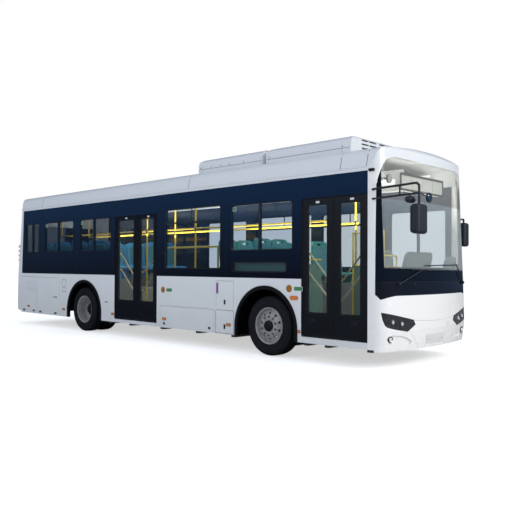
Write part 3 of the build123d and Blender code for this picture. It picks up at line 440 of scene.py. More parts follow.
# each finish and the material slot of the record that it belongs to
FINISHES = {
    "paint": (body_paint(), "body_paint"),
    "mask": (mask_white(), "mask_white"),
    "band": (band_black(), "band_black"),
    "cowl": (gloss_black("cowl_black", (0.004, 0.005, 0.010)), "cowl_black"),
    "screen": (windscreen_glass(), "screen_glass"),
    "side_glass": (glass("side_glass", (0.10, 0.14, 0.20), (0.80, 0.84, 0.88), haze=0.01), "side_glass"),
    "door_glass": (glass("door_glass", (0.20, 0.22, 0.22), (0.86, 0.89, 0.89), haze=0.02), "door_glass"),
    "tyre": (tyre_rubber(), "tyre_rubber"),
    "rim": (rim_silver(), "rim_silver"),
    "underseal": (underseal(), "frame_steel"),
    "vinyl": (floor_vinyl(), "floor_vinyl"),
    "lining": (grained("ceiling_lining", (0.62, 0.64, 0.63), 0.7, 500.0), "ceiling_grey"),
    "seat": (seat_blue(), "seat_plastic"),
    "driver_cloth": (cloth("driver_cloth", (0.10, 0.15, 0.15)), "driver_fabric"),
    "yellow": (rail_yellow(), "rail_yellow"),
    "gold": (rail_gold(), "rail_yellow"),
    "dash": (grained("dash_grey", (0.13, 0.17, 0.165), 0.6), "dash_grey"),
    "black": (grained("satin_black", (0.022, 0.026, 0.038), 0.5), "mirror_black"),
    "door": (grained("door_black", (0.004, 0.006, 0.010), 0.45), "door_black"),
    "rubber": (grained("seal_rubber", (0.012, 0.012, 0.013), 0.8, 400.0), "trim_black"),
    "battery": (grained("battery_grey", (0.10, 0.105, 0.11), 0.6), "battery_grey"),
    "lamp": (gloss_black("lamp_housing", (0.016, 0.014, 0.020)), "lamp_dark"),
    "red": (lens("red_lens", (0.30, 0.012, 0.010)), "lamp_red"),
    "amber": (lens("amber_lens", (0.62, 0.20, 0.05)), "lamp_red"),
    "clear": (lens("clear_lens", (0.70, 0.70, 0.72)), "lamp_dark"),
    "display": (blank_display(), "sign_grey"),
    "steel": (bright_metal("bright_steel"), "rim_silver"),
    "trim": (grained("arch_trim_black", (0.004, 0.004, 0.005), 0.6), "trim_black"),
    "sticker_orange": (plain_film("sticker_orange", (0.36, 0.14, 0.004)), "lamp_red"),
    "sticker_green": (plain_film("sticker_green", (0.06, 0.24, 0.10)), "partition_green"),
    "sticker_white": (plain_film("sticker_white", (0.70, 0.71, 0.70)), "mask_white"),
    "purple": (plain_film("sticker_purple", (0.26, 0.05, 0.34)), "lamp_red"),
    "partition": (partition_panel(), "partition_green"),
    "dash_green": (grained("panel_green", (0.13, 0.24, 0.20), 0.45), "partition_green"),
    "mirror_glass": (mirror_glass(), "mirror_black"),
    "hub": (grained("hub_black", (0.012, 0.011, 0.012), 0.45, 300.0, 0.15), "axle_black"),
    "lamp_glass": (glass("lamp_cover", (0.3, 0.3, 0.32), (0.95, 0.95, 0.96), haze=0.01), "screen_glass"),
    "seat_pad": (cloth("seat_pad_cloth", (0.06, 0.26, 0.34)), "seat_plastic"),
}

# material of each CAD node, by the start of its name
NODE_FINISH = {
    "chassis_frame": "underseal", "front_axle": "underseal", "rear_axle": "underseal", "knuckle": "underseal",
    "floor": "vinyl", "roof_shell": "paint", "ceiling": "lining", "front_mask": "mask", "front_bumper": "mask",
    "wiper_cowl": "cowl", "rear_panel": "paint", "windscreen": "screen", "window_glass": "side_glass",
    "battery_pack": "battery", "passenger_seats": "seat", "driver_seat": "driver_cloth", "handrails": "yellow",
    "dashboard": "dash", "mirrors": "black", "wipers": "black", "headlamps": "lamp", "tail_lamps": "red",
    "destination_sign": "display", "side_skirt": "paint", "window_band": "band", "roof_pod": "paint",
    "front_tyre": "tyre", "rear_tyres": "tyre", "front_rim": "rim", "rear_rims": "rim",
    "front_door": "door", "middle_door": "door", "battery_flap": "paint", "charge_flap": "paint",
               "rear_flap": "paint",
    "engine_lid": "paint", "arch_trims": "trim", "driver_partition": "partition",
}


def dress_node(name, node):
    kind = "door_glass" if name.endswith("_glass") and "door" in name else None
    if kind is None:
        start = max((s for s in NODE_FINISH if name.startswith(s)), key=len)
        kind = NODE_FINISH[start]
    node.data.materials.clear()
    node.data.materials.append(FINISHES[kind][0].material)


for node_name, node_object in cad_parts.items():
    dress_node(node_name, node_object)


# ---------------------------------------------------------------- shapes
# radius at which a turned profile stops short of its axis
CORE = 0.0005


class Shape:
    """Gathers the faces of one piece."""

    def __init__(self):
        self.mesh = bmesh.new()

    def loft(self, rings, closed=True, looped=False, capped=True):
        """Skin over rings of equally many points; looped joins the last ring to the first."""
        made = [[self.mesh.verts.new(p) for p in ring] for ring in rings]
        pairs = list(zip(made, made[1:])) + ([(made[-1], made[0])] if looped else [])
        for first, second in pairs:
            for k in range(len(first) if closed else len(first) - 1):
                n = (k + 1) % len(first)
                self.mesh.faces.new((first[k], first[n], second[n], second[k]))
        if capped and closed and not looped:
            self.mesh.faces.new(reversed(made[0]))
            self.mesh.faces.new(made[-1])
        return self

    def tube(self, points, radius, sides=10, looped=False):
        points = [Vector(p) for p in points]
        rings, normal = [], None
        for k, point in enumerate(points):
            before = points[k - 1] if k or looped else point
            after = points[(k + 1) % len(points)] if k + 1 < len(points) or looped else point
            along = (after - before).normalized()
            normal = along.orthogonal() if normal is None else normal - normal.dot(along) * along
            normal = normal.normalized()
            other = along.cross(normal)
            rings.append([point + radius * (cos(tau * s / sides) * normal + sin(tau * s / sides) * other)
                          for s in range(sides)])
        return self.loft(rings, looped=looped)

    def slab(self, outline, place, low, high):
        """An outline of (u, v) given thickness; place turns u, v and height into a point."""
        return self.loft([[place(u, v, w) for u, v in outline] for w in (low, high)])

    def frame(self, outer, inner, place, low, high):
        """A flat ring between two outlines of equally many points."""
        rings = [[place(u, v, w) for u, v in line] for line, w in ((outer, low), (outer, high), (inner, high),
                                                                   (inner, low))]
        return self.loft(rings, looped=True)

    def rim(self, edges, margin, place, low, high, radius, inner_radius):
        """A frame whose inner edge lies a margin inside its outer one."""
        u0, u1, v0, v1 = edges
        inner = rounded(u0 + margin, u1 - margin, v0 + margin, v1 - margin, inner_radius)
        return self.frame(rounded(*edges, radius), inner, place, low, high)

    def turned(self, profile, centre, axis, steps=40, looped=False):
        """A profile of (radius, distance along the axis) turned about an axis."""
        axis = Vector(axis).normalized()
        u = axis.orthogonal().normalized()
        v = axis.cross(u)
        rings = []
        for radius, distance in profile:
            middle = Vector(centre) + axis * distance
            rings.append([middle + radius * (cos(tau * k / steps) * u + sin(tau * k / steps) * v)
                          for k in range(steps)])
        return self.loft(rings, looped=looped)


def dome(radius, top, crown, narrow=0.002, foot=0.0):
    """Profile of a low round head: its radius, the height of its edge and of its crown, and where it starts."""
    return [(CORE, foot), (radius, foot), (radius - narrow, top), (CORE, crown)]


def rounded(u0, u1, v0, v1, radius, steps=5):
    corners = ((u1 - radius, v1 - radius), (u0 + radius, v1 - radius), (u0 + radius, v0 + radius),
               (u1 - radius, v0 + radius))
    points = []
    for quarter, (u, v) in enumerate(corners):
        for k in range(steps + 1):
            turn = pi / 2 * (quarter + k / steps)
            points.append((u + radius * cos(turn), v + radius * sin(turn)))
    return points


def plain_box(u0, u1, v0, v1):
    return [(u0, v0), (u1, v0), (u1, v1), (u0, v1)]


def around(u, v, half_u, half_v):
    return u - half_u, u + half_u, v - half_v, v + half_v


def centred(u, v, half_u, half_v, radius, steps=5):
    return rounded(*around(u, v, half_u, half_v), radius, steps)


def circle(u, v, radius, steps=28):
    return [(u + radius * cos(tau * k / steps), v + radius * sin(tau * k / steps)) for k in range(steps)]


def on_side(side):
    """Turns distance ahead of the front axle, z and height above the body side into a point."""
    return lambda x, z, out: Vector((ahead(x), side * (SIDE_Y + out), z))


def piece(name, shape, finish, body="body", replaces=(), crease=35):
    """Makes an object of a shape, gives it its finish and lets it ride on a body."""
    bmesh.ops.recalc_face_normals(shape.mesh, faces=shape.mesh.faces)
    mesh = bpy.data.meshes.new(name)
    shape.mesh.to_mesh(mesh)
    shape.mesh.free()
    mesh.shade_smooth()
    mesh.set_sharp_from_angle(angle=radians(crease))
    look, slot = FINISHES[finish]
    mesh.materials.append(look.material)
    thing = bpy.data.objects.new(name, mesh)
    scene.collection.objects.link(thing)
    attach(thing, body)
    if replaces:
        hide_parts(*replaces)
    return thing


# ---------------------------------------------------------------- wheels
TYRE_WIDTH_OUT = 0.1375
GROOVES = (-0.066, -0.022, 0.022, 0.066)
PITCHES = 60
# part of a pitch, depth of the shoulder notch, depth of the sipe in the ribs
PITCH = [(0.0, 0, 0), (0.05, 0.008, 0), (0.20, 0.008, 0), (0.25, 0, 0), (0.60, 0, 0), (0.63, 0, 0.005),
         (0.69, 0, 0.005), (0.72, 0, 0)]
# radius, distance outward of one side of a tyre, from bead to shoulder
SIDEWALL = [(0.2863, 0.111), (0.2985, 0.1115), (0.300, 0.119), (0.306, 0.1265), (0.316, 0.1315), (0.326, 0.1325),
            (0.328, 0.1345), (0.334, 0.1345), (0.336, 0.1338), (0.345, 0.1365), (0.360, 0.1372), (0.385, 0.1375),
            (0.4, 0.1372), (0.418, 0.1352), (0.420, 0.1372), (0.4245, 0.1368), (0.4265, 0.1338), (0.442, 0.1268),
            (0.456, 0.117), (0.465, 0.106)]


def tread_radius(distance):
    crown, edge = TYRE_RADIUS, 0.005
    return crown - edge * (abs(distance) / 0.100) ** 3


def tyre_stations():
    """(radius, distance outward, on the shoulder, on a rib) across one tyre."""
    inner = [(r, -d, False, False) for r, d in SIDEWALL]
    tread = []
    for distance in (-0.100, -0.090, -0.0745):
        tread.append((tread_radius(distance), distance, True, False))
    for groove in GROOVES:
        for across, drop in ((-0.0055, 0), (-0.0035, 0.013), (0.0035, 0.013), (0.0055, 0)):
            tread.append((tread_radius(groove) - drop, groove + across, False, drop == 0))
    for distance in (0.0745, 0.090, 0.100):
        tread.append((tread_radius(distance), distance, True, False))
    outer = [(r, d, False, False) for r, d in reversed(SIDEWALL)]
    return inner + tread + outer


def tyre(shape, x, y, side):
    """One tyre with grooves round its tread, notched shoulders and sipes."""
    stations = tyre_stations()
    rings = []
    for pitch in range(PITCHES):
        for part, notch, sipe in PITCH:
            turn = tau * (pitch + part) / PITCHES
            ring = []
            for radius, distance, shoulder, rib in stations:
                r = radius - (notch if shoulder else 0) - (sipe if rib else 0)
                ring.append(Vector((x + r * cos(turn), y + side * distance, HUB_Z + r * sin(turn))))
            rings.append(ring)
    shape.loft(rings, looped=True)


def nut(shape, at, axis):
    """Flanged wheel nut on its stud."""
    shape.turned([(CORE, 0), (0.0185, 0), (0.0185, 0.003), (0.016, 0.005), (CORE, 0.005)], at, axis, 20)
    shape.turned([(CORE, 0.004), (0.0155, 0.004), (0.0155, 0.020), (0.012, 0.023), (CORE, 0.023)], at, axis, 6)
    shape.turned([(CORE, 0.02), (0.0085, 0.02), (0.0085, 0.030), (0.007, 0.0315), (CORE, 0.0315)], at, axis, 14)


def nuts_round(shape, x, y, out, side, radius):
    for k in range(10):
        turn = tau * (k + 0.5) / 10
        nut(shape, (x + radius * cos(turn), y + side * out, HUB_Z + radius * sin(turn)), (0, side, 0))


# how far out and on what ring the nuts of each wheel sit, the profile of its cap, and of the bolt heads on the
# cap the count, ring, distance out, radius and height
WHEELS = {
    "front": (0.1155, 0.147, [(CORE, 0.119), (0.088, 0.119), (0.088, 0.125), (0.0835, 0.130), (0.081, 0.147),
                              (0.064, 0.1525), (0.034, 0.154), (0.032, 0.1515), (CORE, 0.1515)],
              (8, 0.049, 0.1525, 0.0065, 0.003)),
    "rear": (-0.149, 0.1625, [(CORE, -0.148), (0.1475, -0.148), (0.1475, -0.060), (0.141, -0.055), (0.124, -0.036),
                              (0.092, -0.031), (0.085, 0.0025), (0.060, 0.005), (CORE, 0.005)],
             (12, 0.108, -0.034, 0.0095, 0.009)),
}
RIM_EDGE = [(0.2885, 0.1235), (0.2965, 0.1205), (0.2985, 0.1215), (0.2975, 0.1248), (0.2905, 0.1262)]
# distance ahead of the hub and outward, of the points along a valve
VALVE = ((0.236, 0.03), (0.250, 0.085), (0.253, 0.105))


def dress_wheels():
    front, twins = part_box("front_tyre_left"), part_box("rear_tyres_left")
    rows = {"front": ("front_tyre", "front_wheel", FRONT_AXLE_X, [(front[0].y + front[1].y) / 2]),
            "rear": ("rear_tyres", "rear_wheels", REAR_AXLE_X, [twins[1].y - TYRE_WIDTH_OUT,
                                                                twins[0].y + TYRE_WIDTH_OUT])}
    for label, side in SIDES.items():
        axis = (0, side, 0)
        for end, (nuts_out, nuts_ring, profile, (count, ring, out, radius, height)) in WHEELS.items():
            node, wheel, x, across = rows[end]
            y, body = across[0], f"{wheel}_{label}"
            tread, nuts = Shape(), Shape()
            for row in across:
                tyre(tread, x, side * row, side)
            piece(f"{node}_tread_{label}", tread, "tyre", body, [f"{node}_{label}"], 30)
            nuts_round(nuts, x, side * y, nuts_out, side, nuts_ring)
            piece(f"{end}_wheel_nuts_{label}", nuts, "steel", body)
            cap = Shape().turned(profile, (x, side * y, HUB_Z), axis, 56)
            for k in range(count):
                turn = tau * k / count
                spot = (x + ring * cos(turn), side * (y + out), HUB_Z + ring * sin(turn))
                cap.turned([(CORE, 0), (radius, 0), (radius, height), (CORE, height)], spot, axis, 6)
            piece(f"{end}_hub_cap_{label}", cap, "hub", body)
            edge = Shape().turned(RIM_EDGE, (x, side * y, HUB_Z), axis, 72, looped=True)
            edge.tube([(x + fore, side * (y + out), HUB_Z) for fore, out in VALVE], 0.0045, 8)
            piece(f"{end}_rim_edge_{label}", edge, "steel", body)


# ---------------------------------------------------------------- sides
# x0, x1, z0, z1 of each side pane and x of its posts, z of its rails, ahead of the front axle
PANES = {
    "right": [(-8.0, -7.33, 1.72, 2.40, [-7.654], []), (-7.044, -5.777, 1.725, 2.40, [-6.448], []),
              (-5.509, -4.32, 1.72, 2.40, [-4.975], []), (-2.55, -1.052, 1.367, 2.44, [], [2.19]),
              (-0.798, 0.538, 1.669, 2.414, [-0.16], []), (-0.77, 0.42, 1.319, 1.479, [], [])],
    "left": [(-8.0, -7.33, 1.72, 2.40, [-7.654], []), (-7.044, -5.777, 1.725, 2.40, [-6.448], []),
             (-5.609, -4.32, 1.72, 2.40, [-4.975], []), (-4.1, -2.85, 1.367, 2.40, [-3.475], []),
             (-2.55, -1.052, 1.367, 2.44, [], [2.19]), (-0.798, 0.47, 1.40, 2.414, [], [2.19]),
             (0.723, 1.783, 1.394, 2.37, [1.27], [])],
}
BAND_JOINTS = {"right": (-7.22, -5.69, -4.245, -2.70, -0.924),
               "left": (-7.22, -5.69, -4.21, -2.70, -0.924, 0.597)}
BAND_LOW, BAND_HIGH, SHOULDER_Z = 1.228, 2.734, 2.785
DOOR_GAPS = ((-4.176, -2.785), (0.71, 1.884))


# distance out from the side and height of the gutter's section above the shoulder, and of the line of the cove
GUTTER = [(0.0, -0.008), (0.009, -0.006), (0.011, 0.006), (0.005, 0.008), (-0.004, 0.007)]
COVE = [(0.0, 2.785), (-0.0225, 2.875), (-0.045, 2.965), (-0.0735, 3.018), (-0.116, 3.046), (-0.161, 3.0635)]


def spans(side, first=-8.1, last=1.884):
    """Lengthwise stretches of the side that no door interrupts."""
    if side == LEFT:
        return [(first, last)]
    edges = [first] + [x for gap in DOOR_GAPS for x in gap] + [last]
    return [(a, b) for a, b in zip(edges[::2], edges[1::2]) if b - a > 0.05]


def dress_sides():
    for label, side in SIDES.items():
        place = on_side(side)
        seals, bars = Shape(), Shape()
        for x0, x1, z0, z1, posts, rails in PANES[label]:
            seals.rim((x0 - 0.006, x1 + 0.006, z0 - 0.006, z1 + 0.006), 0.018, place, -0.0055, 0.0018, 0.05, 0.036)
            low, high, middle = z0 + 0.011, z1 - 0.011, (x0 + x1) / 2
            for x in posts:
                bars.slab(rounded(x - 0.016, x + 0.016, low, high, 0.003, 2), place, -0.004, 0.0012)
                bars.slab(rounded(x - 0.0045, x + 0.0045, low, high, 0.002, 2), place, 0.0002, 0.0024)
            for z in rails:
                for bar in ((x0 + 0.011, x1 - 0.011, z - 0.014, z + 0.014), (middle - 0.012, middle + 0.012, z,
                                                                             high)):
                    bars.slab(rounded(*bar, 0.003, 2), place, -0.004, 0.0014)
        piece(f"window_seals_{label}", seals, "rubber")
        piece(f"window_bars_{label}", bars, "black")
        joints_and_shadow_lines = Shape()
        low, high = BAND_LOW + 0.002, BAND_HIGH - 0.002
        for x in BAND_JOINTS[label]:
            joints_and_shadow_lines.slab(rounded(x - 0.004, x + 0.004, low, high, 0.002, 2), place, -0.004, 0.0009)
        # The dark strip along BAND_LOW is a painted shadow line where the band meets the panel below; the strip
        # along BAND_HIGH is a rubber strip.
        for x0, x1 in spans(side):
            for z, half in ((BAND_LOW, 0.004), (BAND_HIGH, 0.003)):
                joints_and_shadow_lines.slab(rounded(x0, x1, z - half, z + half, 0.002, 2), place, -0.004, 0.0012)
        piece(f"band_joints_and_shadow_lines_{label}", joints_and_shadow_lines, "rubber")
        gutter = Shape()
        for x0, x1 in ((-8.22, -1.906), (-1.904, 1.416), (1.418, 1.86)):
            gutter.loft([[place(x, SHOULDER_Z + z, out) for out, z in GUTTER] for x in (x0, x1)])
        piece(f"roof_gutter_{label}", gutter, "paint")
        nub = Shape().slab(rounded(1.90, 1.99, 2.716, 2.754, 0.012, 4), place, -0.01, 0.012)
        piece(f"gutter_end_{label}", nub, "rubber")
        cove = Shape()
        for x in (-7.2, -1.905, 1.417, 1.86):
            section = plain_box(x - 0.0035, x + 0.0035, -0.004, 0.0015)
            cove.loft([[place(u, z, out + lift) for u, lift in section] for out, z in COVE])
        piece(f"cove_joints_{label}", cove, "rubber")


# x, z of the reflectors along the skirt, their half length and the body each one rides on
REFLECTORS = {
    "right": [(-7.80, "rear_flap_aft", 0.05), (-6.16, "body", 0.05), (-4.235, "body", 0.045),
              (-2.56, "battery_flap", 0.05), (-0.85, "body", 0.05), (0.672, "body", 0.022)],
    "left": [(x, "body", 0.05) for x in (-7.80, -6.16, -4.22, -2.56, -0.87, 0.80)],
}
REFLECTOR_Z = 0.436


def dress_reflectors():
    for label, side in SIDES.items():
        place = on_side(side)
        for number, (x, body, half) in enumerate(REFLECTORS[label]):
            lens_shape = Shape().slab(centred(x, REFLECTOR_Z, half, 0.019, 0.008), place, 0, 0.0085)
            rim = Shape().rim(around(x, REFLECTOR_Z, half + 0.005, 0.024), 0.005, place, 0, 0.006, 0.011, 0.008)
            piece(f"side_reflector_{label}_{number}", lens_shape, "amber", body)
            piece(f"side_reflector_rim_{label}_{number}", rim, "rubber", body)
        turn = Shape().slab(rounded(0.493, 0.653, 0.903, 0.967, 0.030), place, 0, 0.010)
        turn.slab(rounded(0.505, 0.641, 0.914, 0.956, 0.020), place, 0.010, 0.016)
        piece(f"side_turn_lamp_{label}", turn, "amber")


def blank_sticker(name, ground, patch, side, finish, lift=0.0):
    """A plain sticker with no words or signs on it: a pale ground and a plain patch of one colour."""
    place = on_side(side)
    piece(name, Shape().slab(ground, place, lift, lift + 0.0008), "sticker_white")
    piece(name + "_patch", Shape().slab(patch, place, lift + 0.0008, lift + 0.0013), finish)


# x, z of the pairs of a round and a green sticker, and of the stickers on the panes
STICKERS = ((-2.598, 0.971), (0.473, 1.075))
WINDOW_STICKERS = ((-6.97, 2.33), (-5.42, 2.33), (-0.72, 2.35))


def dress_stickers():
    for label, side in SIDES.items():
        for n, (x, z) in enumerate(STICKERS):
            outlines = circle(x, z, 0.065), circle(x, z, 0.057)
            blank_sticker(f"round_sticker_{label}_{n}", *outlines, side, "sticker_orange")
            x += 0.18
            outlines = centred(x, z, 0.085, 0.035, 0.012), centred(x, z, 0.079, 0.029, 0.010)
            blank_sticker(f"green_sticker_{label}_{n}", *outlines, side, "sticker_green")
        for n, (x, z) in enumerate(WINDOW_STICKERS):
            outlines = centred(x, z, 0.040, 0.035, 0.01), centred(x, z, 0.036, 0.031, 0.008)
            blank_sticker(f"window_sticker_{label}_{n}", *outlines, side, "sticker_green", -0.0018)


def latch(shape, x, z, place, width=0.05):
    """Flush lift latch in its plate."""
    shape.rim(around(x, z, width, 0.022), 0.006, place, 0, 0.003, 0.008, 0.005)
    shape.slab(centred(x, z, width - 0.009, 0.013, 0.004), place, 0, 0.0022)


# x and z of the latches of each flap, and half their width
FLAP_LATCHES = {"battery_flap": ((-2.56, -1.32), 0.35, 0.026), "rear_flap_fore": ((-7.22, -6.52), 0.33, 0.05),
                "rear_flap_aft": ((-8.02, -7.54), 0.34, 0.05)}
# x0, x1, z0, z1 of the hatches along the skirt
HATCHES = {"right": [(-6.24, -6.07, 0.83, 1.10), (-1.164, -0.724, 0.285, 0.676)],
           "left": [(-8.1, -7.3, 0.30, 1.14), (-7.28, -6.25, 0.30, 1.14), (-4.45, -3.3, 0.29, 0.70),
                    (-3.28, -2.1, 0.29, 0.70), (-2.08, -0.78, 0.29, 0.70), (0.78, 1.5, 0.29, 0.70)]}


def dress_flaps():
    place = on_side(RIGHT)
    for flap, (spots, z, width) in FLAP_LATCHES.items():
        latches = Shape()
        for x in spots:
            latch(latches, x, z, place, width)
        piece(f"{flap}_latches", latches, "black", flap)
    small = Shape().slab(centred(-0.942, 0.81, 0.020, 0.038, 0.008), place, 0, 0.004)
    piece("charge_flap_latch", small, "black", "charge_flap")
    strip = Shape().slab(rounded(-1.150, -1.100, 0.95, 1.13, 0.006, 3), place, 0, 0.001)
    piece("charge_flap_strip", strip, "purple", "charge_flap")
    grille = Shape().rim((-8.00, -7.42, 0.80, 1.06), 0.015, place, 0, 0.004, 0.02, 0.01)
    for k in range(6):
        z = 0.824 + 0.037 * k
        slat = (z, 0.0), (z + 0.018, 0.0), (z + 0.010, 0.009)
        grille.loft([[place(x, *corner) for corner in slat] for x in (-7.987, -7.433)])
    piece("rear_flap_grille", grille, "paint", "rear_flap_aft")
    for label, side in SIDES.items():
        place, lines = on_side(side), Shape()
        for x0, x1, z0, z1 in HATCHES[label]:
            lines.rim((x0, x1, z0, z1), 0.006, place, -0.001, 0.0008, 0.012, 0.008)
            if side == LEFT:
                latch(lines, (x0 + x1) / 2, z0 + 0.04, place)
        if side == RIGHT:
            lines.slab(centred(-0.942, 0.40, 0.020, 0.038, 0.008), place, 0, 0.004)
            lines.slab(centred(-4.46, 0.67, 0.055, 0.008, 0.006), place, 0, 0.002)
            lines.slab(centred(-6.53, 0.695, 0.08, 0.008, 0.006), place, 0, 0.008)
            lines.slab(circle(-6.15, 0.93, 0.016), place, 0, 0.004)
        piece(f"skirt_hatch_joints_{label}", lines, "rubber")


# ---------------------------------------------------------------- doors
# tail, meeting edge, bottom, top, +1 where the leaf lies ahead of its jamb
LEAVES = {
    "front_door_aft": (0.723, 1.294, 0.374, 2.412, 1), "front_door_fore": (1.871, 1.306, 0.374, 2.412, -1),
    "middle_door_aft": (-4.163, -3.436, 0.348, 2.392, 1), "middle_door_fore": (-2.798, -3.424, 0.348, 2.392, -1),
}
LEAF_GLASS_Z, LEAF_STILE, LEAF_OUT = (0.725, 2.322), 0.105, -0.012
# x, z of both ends of the upper and the lower grab rail
GRAB_RAILS = {
    "front_door_aft": [(0.767, 1.643, 1.205, 1.171), (0.769, 1.328, 1.205, 0.903)],
    "front_door_fore": [(1.785, 1.653, 1.392, 1.204), (1.785, 1.356, 1.376, 0.904)],
    "middle_door_aft": [(-4.075, 1.650, -3.525, 1.100), (-4.075, 1.335, -3.525, 0.800)],
    "middle_door_fore": [(-2.885, 1.607, -3.340, 1.287), (-2.885, 1.366, -3.340, 0.938)],
}
# leaf, x, z of its lock recess, and of its plain label
LOCKS = [("front_door_aft", 0.916, 0.617), ("front_door_fore", 1.656, 0.617)]
LABELS = [("front_door_aft", 1.008, 2.355), ("front_door_fore", 1.618, 2.362),
          ("middle_door_aft", -3.80, 2.357), ("middle_door_fore", -3.08, 2.357)]
# profiles of the foot and of the rounded end of a grab rail
RAIL_FOOT = [(CORE, -0.001), (0.022, -0.001), (0.022, 0.004), (0.0125, 0.006), (0.0125, 0.045), (CORE, 0.046)]
RAIL_KNOB = [(CORE, -0.0138), (0.0098, -0.0098), (0.0138, 0), (0.0098, 0.0098), (CORE, 0.0138)]


def dress_doors():
    place = on_side(RIGHT)
    for name, (tail, meet, z0, z1, way) in LEAVES.items():
        x0, x1 = sorted((tail, meet))
        seal = Shape()
        a, b = sorted((meet, meet + way * 0.0045))
        seal.slab(plain_box(a, b, z0 + 0.004, z1 - 0.004), place, LEAF_OUT - 0.030, LEAF_OUT - 0.003)
        g0, g1 = LEAF_GLASS_Z
        seal.rim((x0 + LEAF_STILE - 0.012, x1 - LEAF_STILE + 0.012, g0 - 0.012, g1 + 0.012), 0.024, place,
                 LEAF_OUT - 0.004, LEAF_OUT + 0.002, 0.03, 0.022)
        piece(f"{name}_seals", seal, "rubber", name)
        rails = Shape()
        y_in = -(SIDE_Y + LEAF_OUT - 0.036)
        for ax, az, bx, bz in GRAB_RAILS[name]:
            ends = [Vector((ahead(x), y_in + 0.045, z)) for x, z in ((ax, az), (bx, bz))]
            rails.tube(ends, 0.0138, 14)
            for end in ends:
                rails.turned(RAIL_FOOT, (end.x, y_in, end.z), (0, 1, 0), 16)
                rails.turned(RAIL_KNOB, end, (0, 1, 0), 16)
        piece(f"{name}_grab_rails", rails, "gold", name)
        near, far = tail + way * 0.16, meet - way * 0.003
        sweep = Shape().slab(plain_box(near, far, z0 + 0.002, z0 + 0.03), place, LEAF_OUT - 0.001, LEAF_OUT + 0.002)
        for x in (tail + way * 0.2, meet - way * 0.04):
            for z in (0.45, 0.66):
                sweep.turned(dome(0.009, 0.0025, 0.003), place(x, z, LEAF_OUT), (0, -1, 0), 12)
        piece(f"{name}_brush", sweep, "rubber", name)
    for leaf, x, z in LOCKS:
        lock = Shape()
        lock.rim(around(x, z, 0.062, 0.028), 0.006, place, LEAF_OUT, LEAF_OUT + 0.003, 0.026, 0.020)
        lock.slab(circle(x, z, 0.014), place, LEAF_OUT, LEAF_OUT + 0.004)
        piece(f"{leaf}_lock", lock, "black", leaf)
    for leaf, x, z in LABELS:
        label = Shape().slab(centred(x, z, 0.034, 0.015, 0.005), place, LEAF_OUT, LEAF_OUT + 0.001)
        piece(f"{leaf}_blank_label", label, "sticker_white", leaf)
    frames = Shape()
    for (x0, x1), sill, header in zip(DOOR_GAPS, (0.34, 0.366), (2.40, 2.42)):
        for strip in ((x0, x0 + 0.008, sill + 0.02, header), (x1 - 0.008, x1, sill + 0.02, header),
                      (x0, x1, header - 0.0045, header)):
            frames.slab(plain_box(*strip), place, -0.05, -0.002)
    piece("door_jamb_seals", frames, "rubber")
    treads = Shape()
    for (x0, x1), sill in zip(DOOR_GAPS, (0.34, 0.366)):
        for k in range(6):
            out = -0.052 + 0.008 * k
            treads.slab(plain_box(x0 + 0.01, x1 - 0.01, sill, sill + 0.0025), place, out, out + 0.004)
    piece("door_sill_ribs", treads, "steel")


# ---------------------------------------------------------------- front
# z, foremost point of the front at the middle, ahead of the front axle
FRONT_STATIONS = [(0.25, 2.220), (0.53, 2.258), (1.2, 2.240), (3.2, 2.155)]
FRONT_BOW, FRONT_CORNER = 5.6, 0.18
LAMP_LENSES = [(-1.023, 0.652), (-0.837, 0.622)]
FOG_LAMP = (-1.062, 0.415)


def skin_at(stations, z):
    """Distance ahead at a height, from a list of heights and distances."""
    low, high = stations[:2]
    for first, second in zip(stations, stations[1:]):
        if z >= first[0]:
            low, high = first, second
    return low[1] + (high[1] - low[1]) * (z - low[0]) / (high[0] - low[0])


def front_x(y, z):
    """Skin of the front at y, z, corners included."""
    nose = skin_at(FRONT_STATIONS, z)
    centre, reach = nose - FRONT_BOW, SIDE_Y - FRONT_CORNER
    y = min(abs(y), SIDE_Y - 0.0005)
    if y <= reach * FRONT_BOW / (FRONT_BOW - FRONT_CORNER):
        return ahead(centre + sqrt(FRONT_BOW ** 2 - y * y))
    corner = centre + sqrt((FRONT_BOW - FRONT_CORNER) ** 2 - reach ** 2)
    return ahead(corner + sqrt(max(0.0, FRONT_CORNER ** 2 - (y - reach) ** 2)))


def crossings(outline, y):
    """Lowest and highest z of an outline of (y, z) at one y."""
    found = []
    for (y0, z0), (y1, z1) in zip(outline, outline[1:] + outline[:1]):
        if min(y0, y1) <= y <= max(y0, y1) and y0 != y1:
            found.append(z0 + (z1 - z0) * (y - y0) / (y1 - y0))
    return min(found), max(found)


def front_patch(shape, outline, lift, thick=0.002, columns=30, rows=3):
    """A sheet that follows the skin of the front within an outline of (y, z)."""
    first, last = min(y for y, _ in outline), max(y for y, _ in outline)
    rings = []
    for k in range(columns + 1):
        y = first + (last - first) * (0.0005 + 0.999 * k / columns)
        low, high = crossings(outline, y)
        high = max(high, low + 0.0004)
        heights = [low + (high - low) * r / rows for r in range(rows + 1)]
        outer = [Vector((front_x(y, z) + lift, y, z)) for z in heights]
        inner = [Vector((front_x(y, z) + lift - thick, y, z)) for z in reversed(heights)]
        rings.append(outer + inner)
    return shape.loft(rings)


def on_front(y, z, out):
    return Vector((front_x(y, z) + out, y, z))


def to_side(outline, side):
    """An outline drawn for the right side, moved to the side asked for."""
    return outline if side == RIGHT else [(-y, z) for y, z in outline]


def lamp_bowl(shape, y, z, radius, lift):
    """Polished bowl of a projector lamp."""
    return shape.turned([(radius, 0), (radius + 0.004, 0.001), (radius + 0.004, 0.006), (radius - 0.002, 0.008),
                         (radius - 0.010, 0.003), (radius - 0.016, -0.002), (CORE, -0.002)], on_front(y, z, lift),
                        (1, 0, 0), 40)


def lamp_eye(shape, y, z, radius, lift):
    """Domed glass eye in the middle of a bowl."""
    crown = [(radius * cos(pi / 2 * k / 7) + CORE, 0.55 * radius * sin(pi / 2 * k / 7)) for k in range(8)]
    return shape.turned([(CORE, -0.002), (radius, -0.002)] + crown, on_front(y, z, lift), (1, 0, 0), 36)


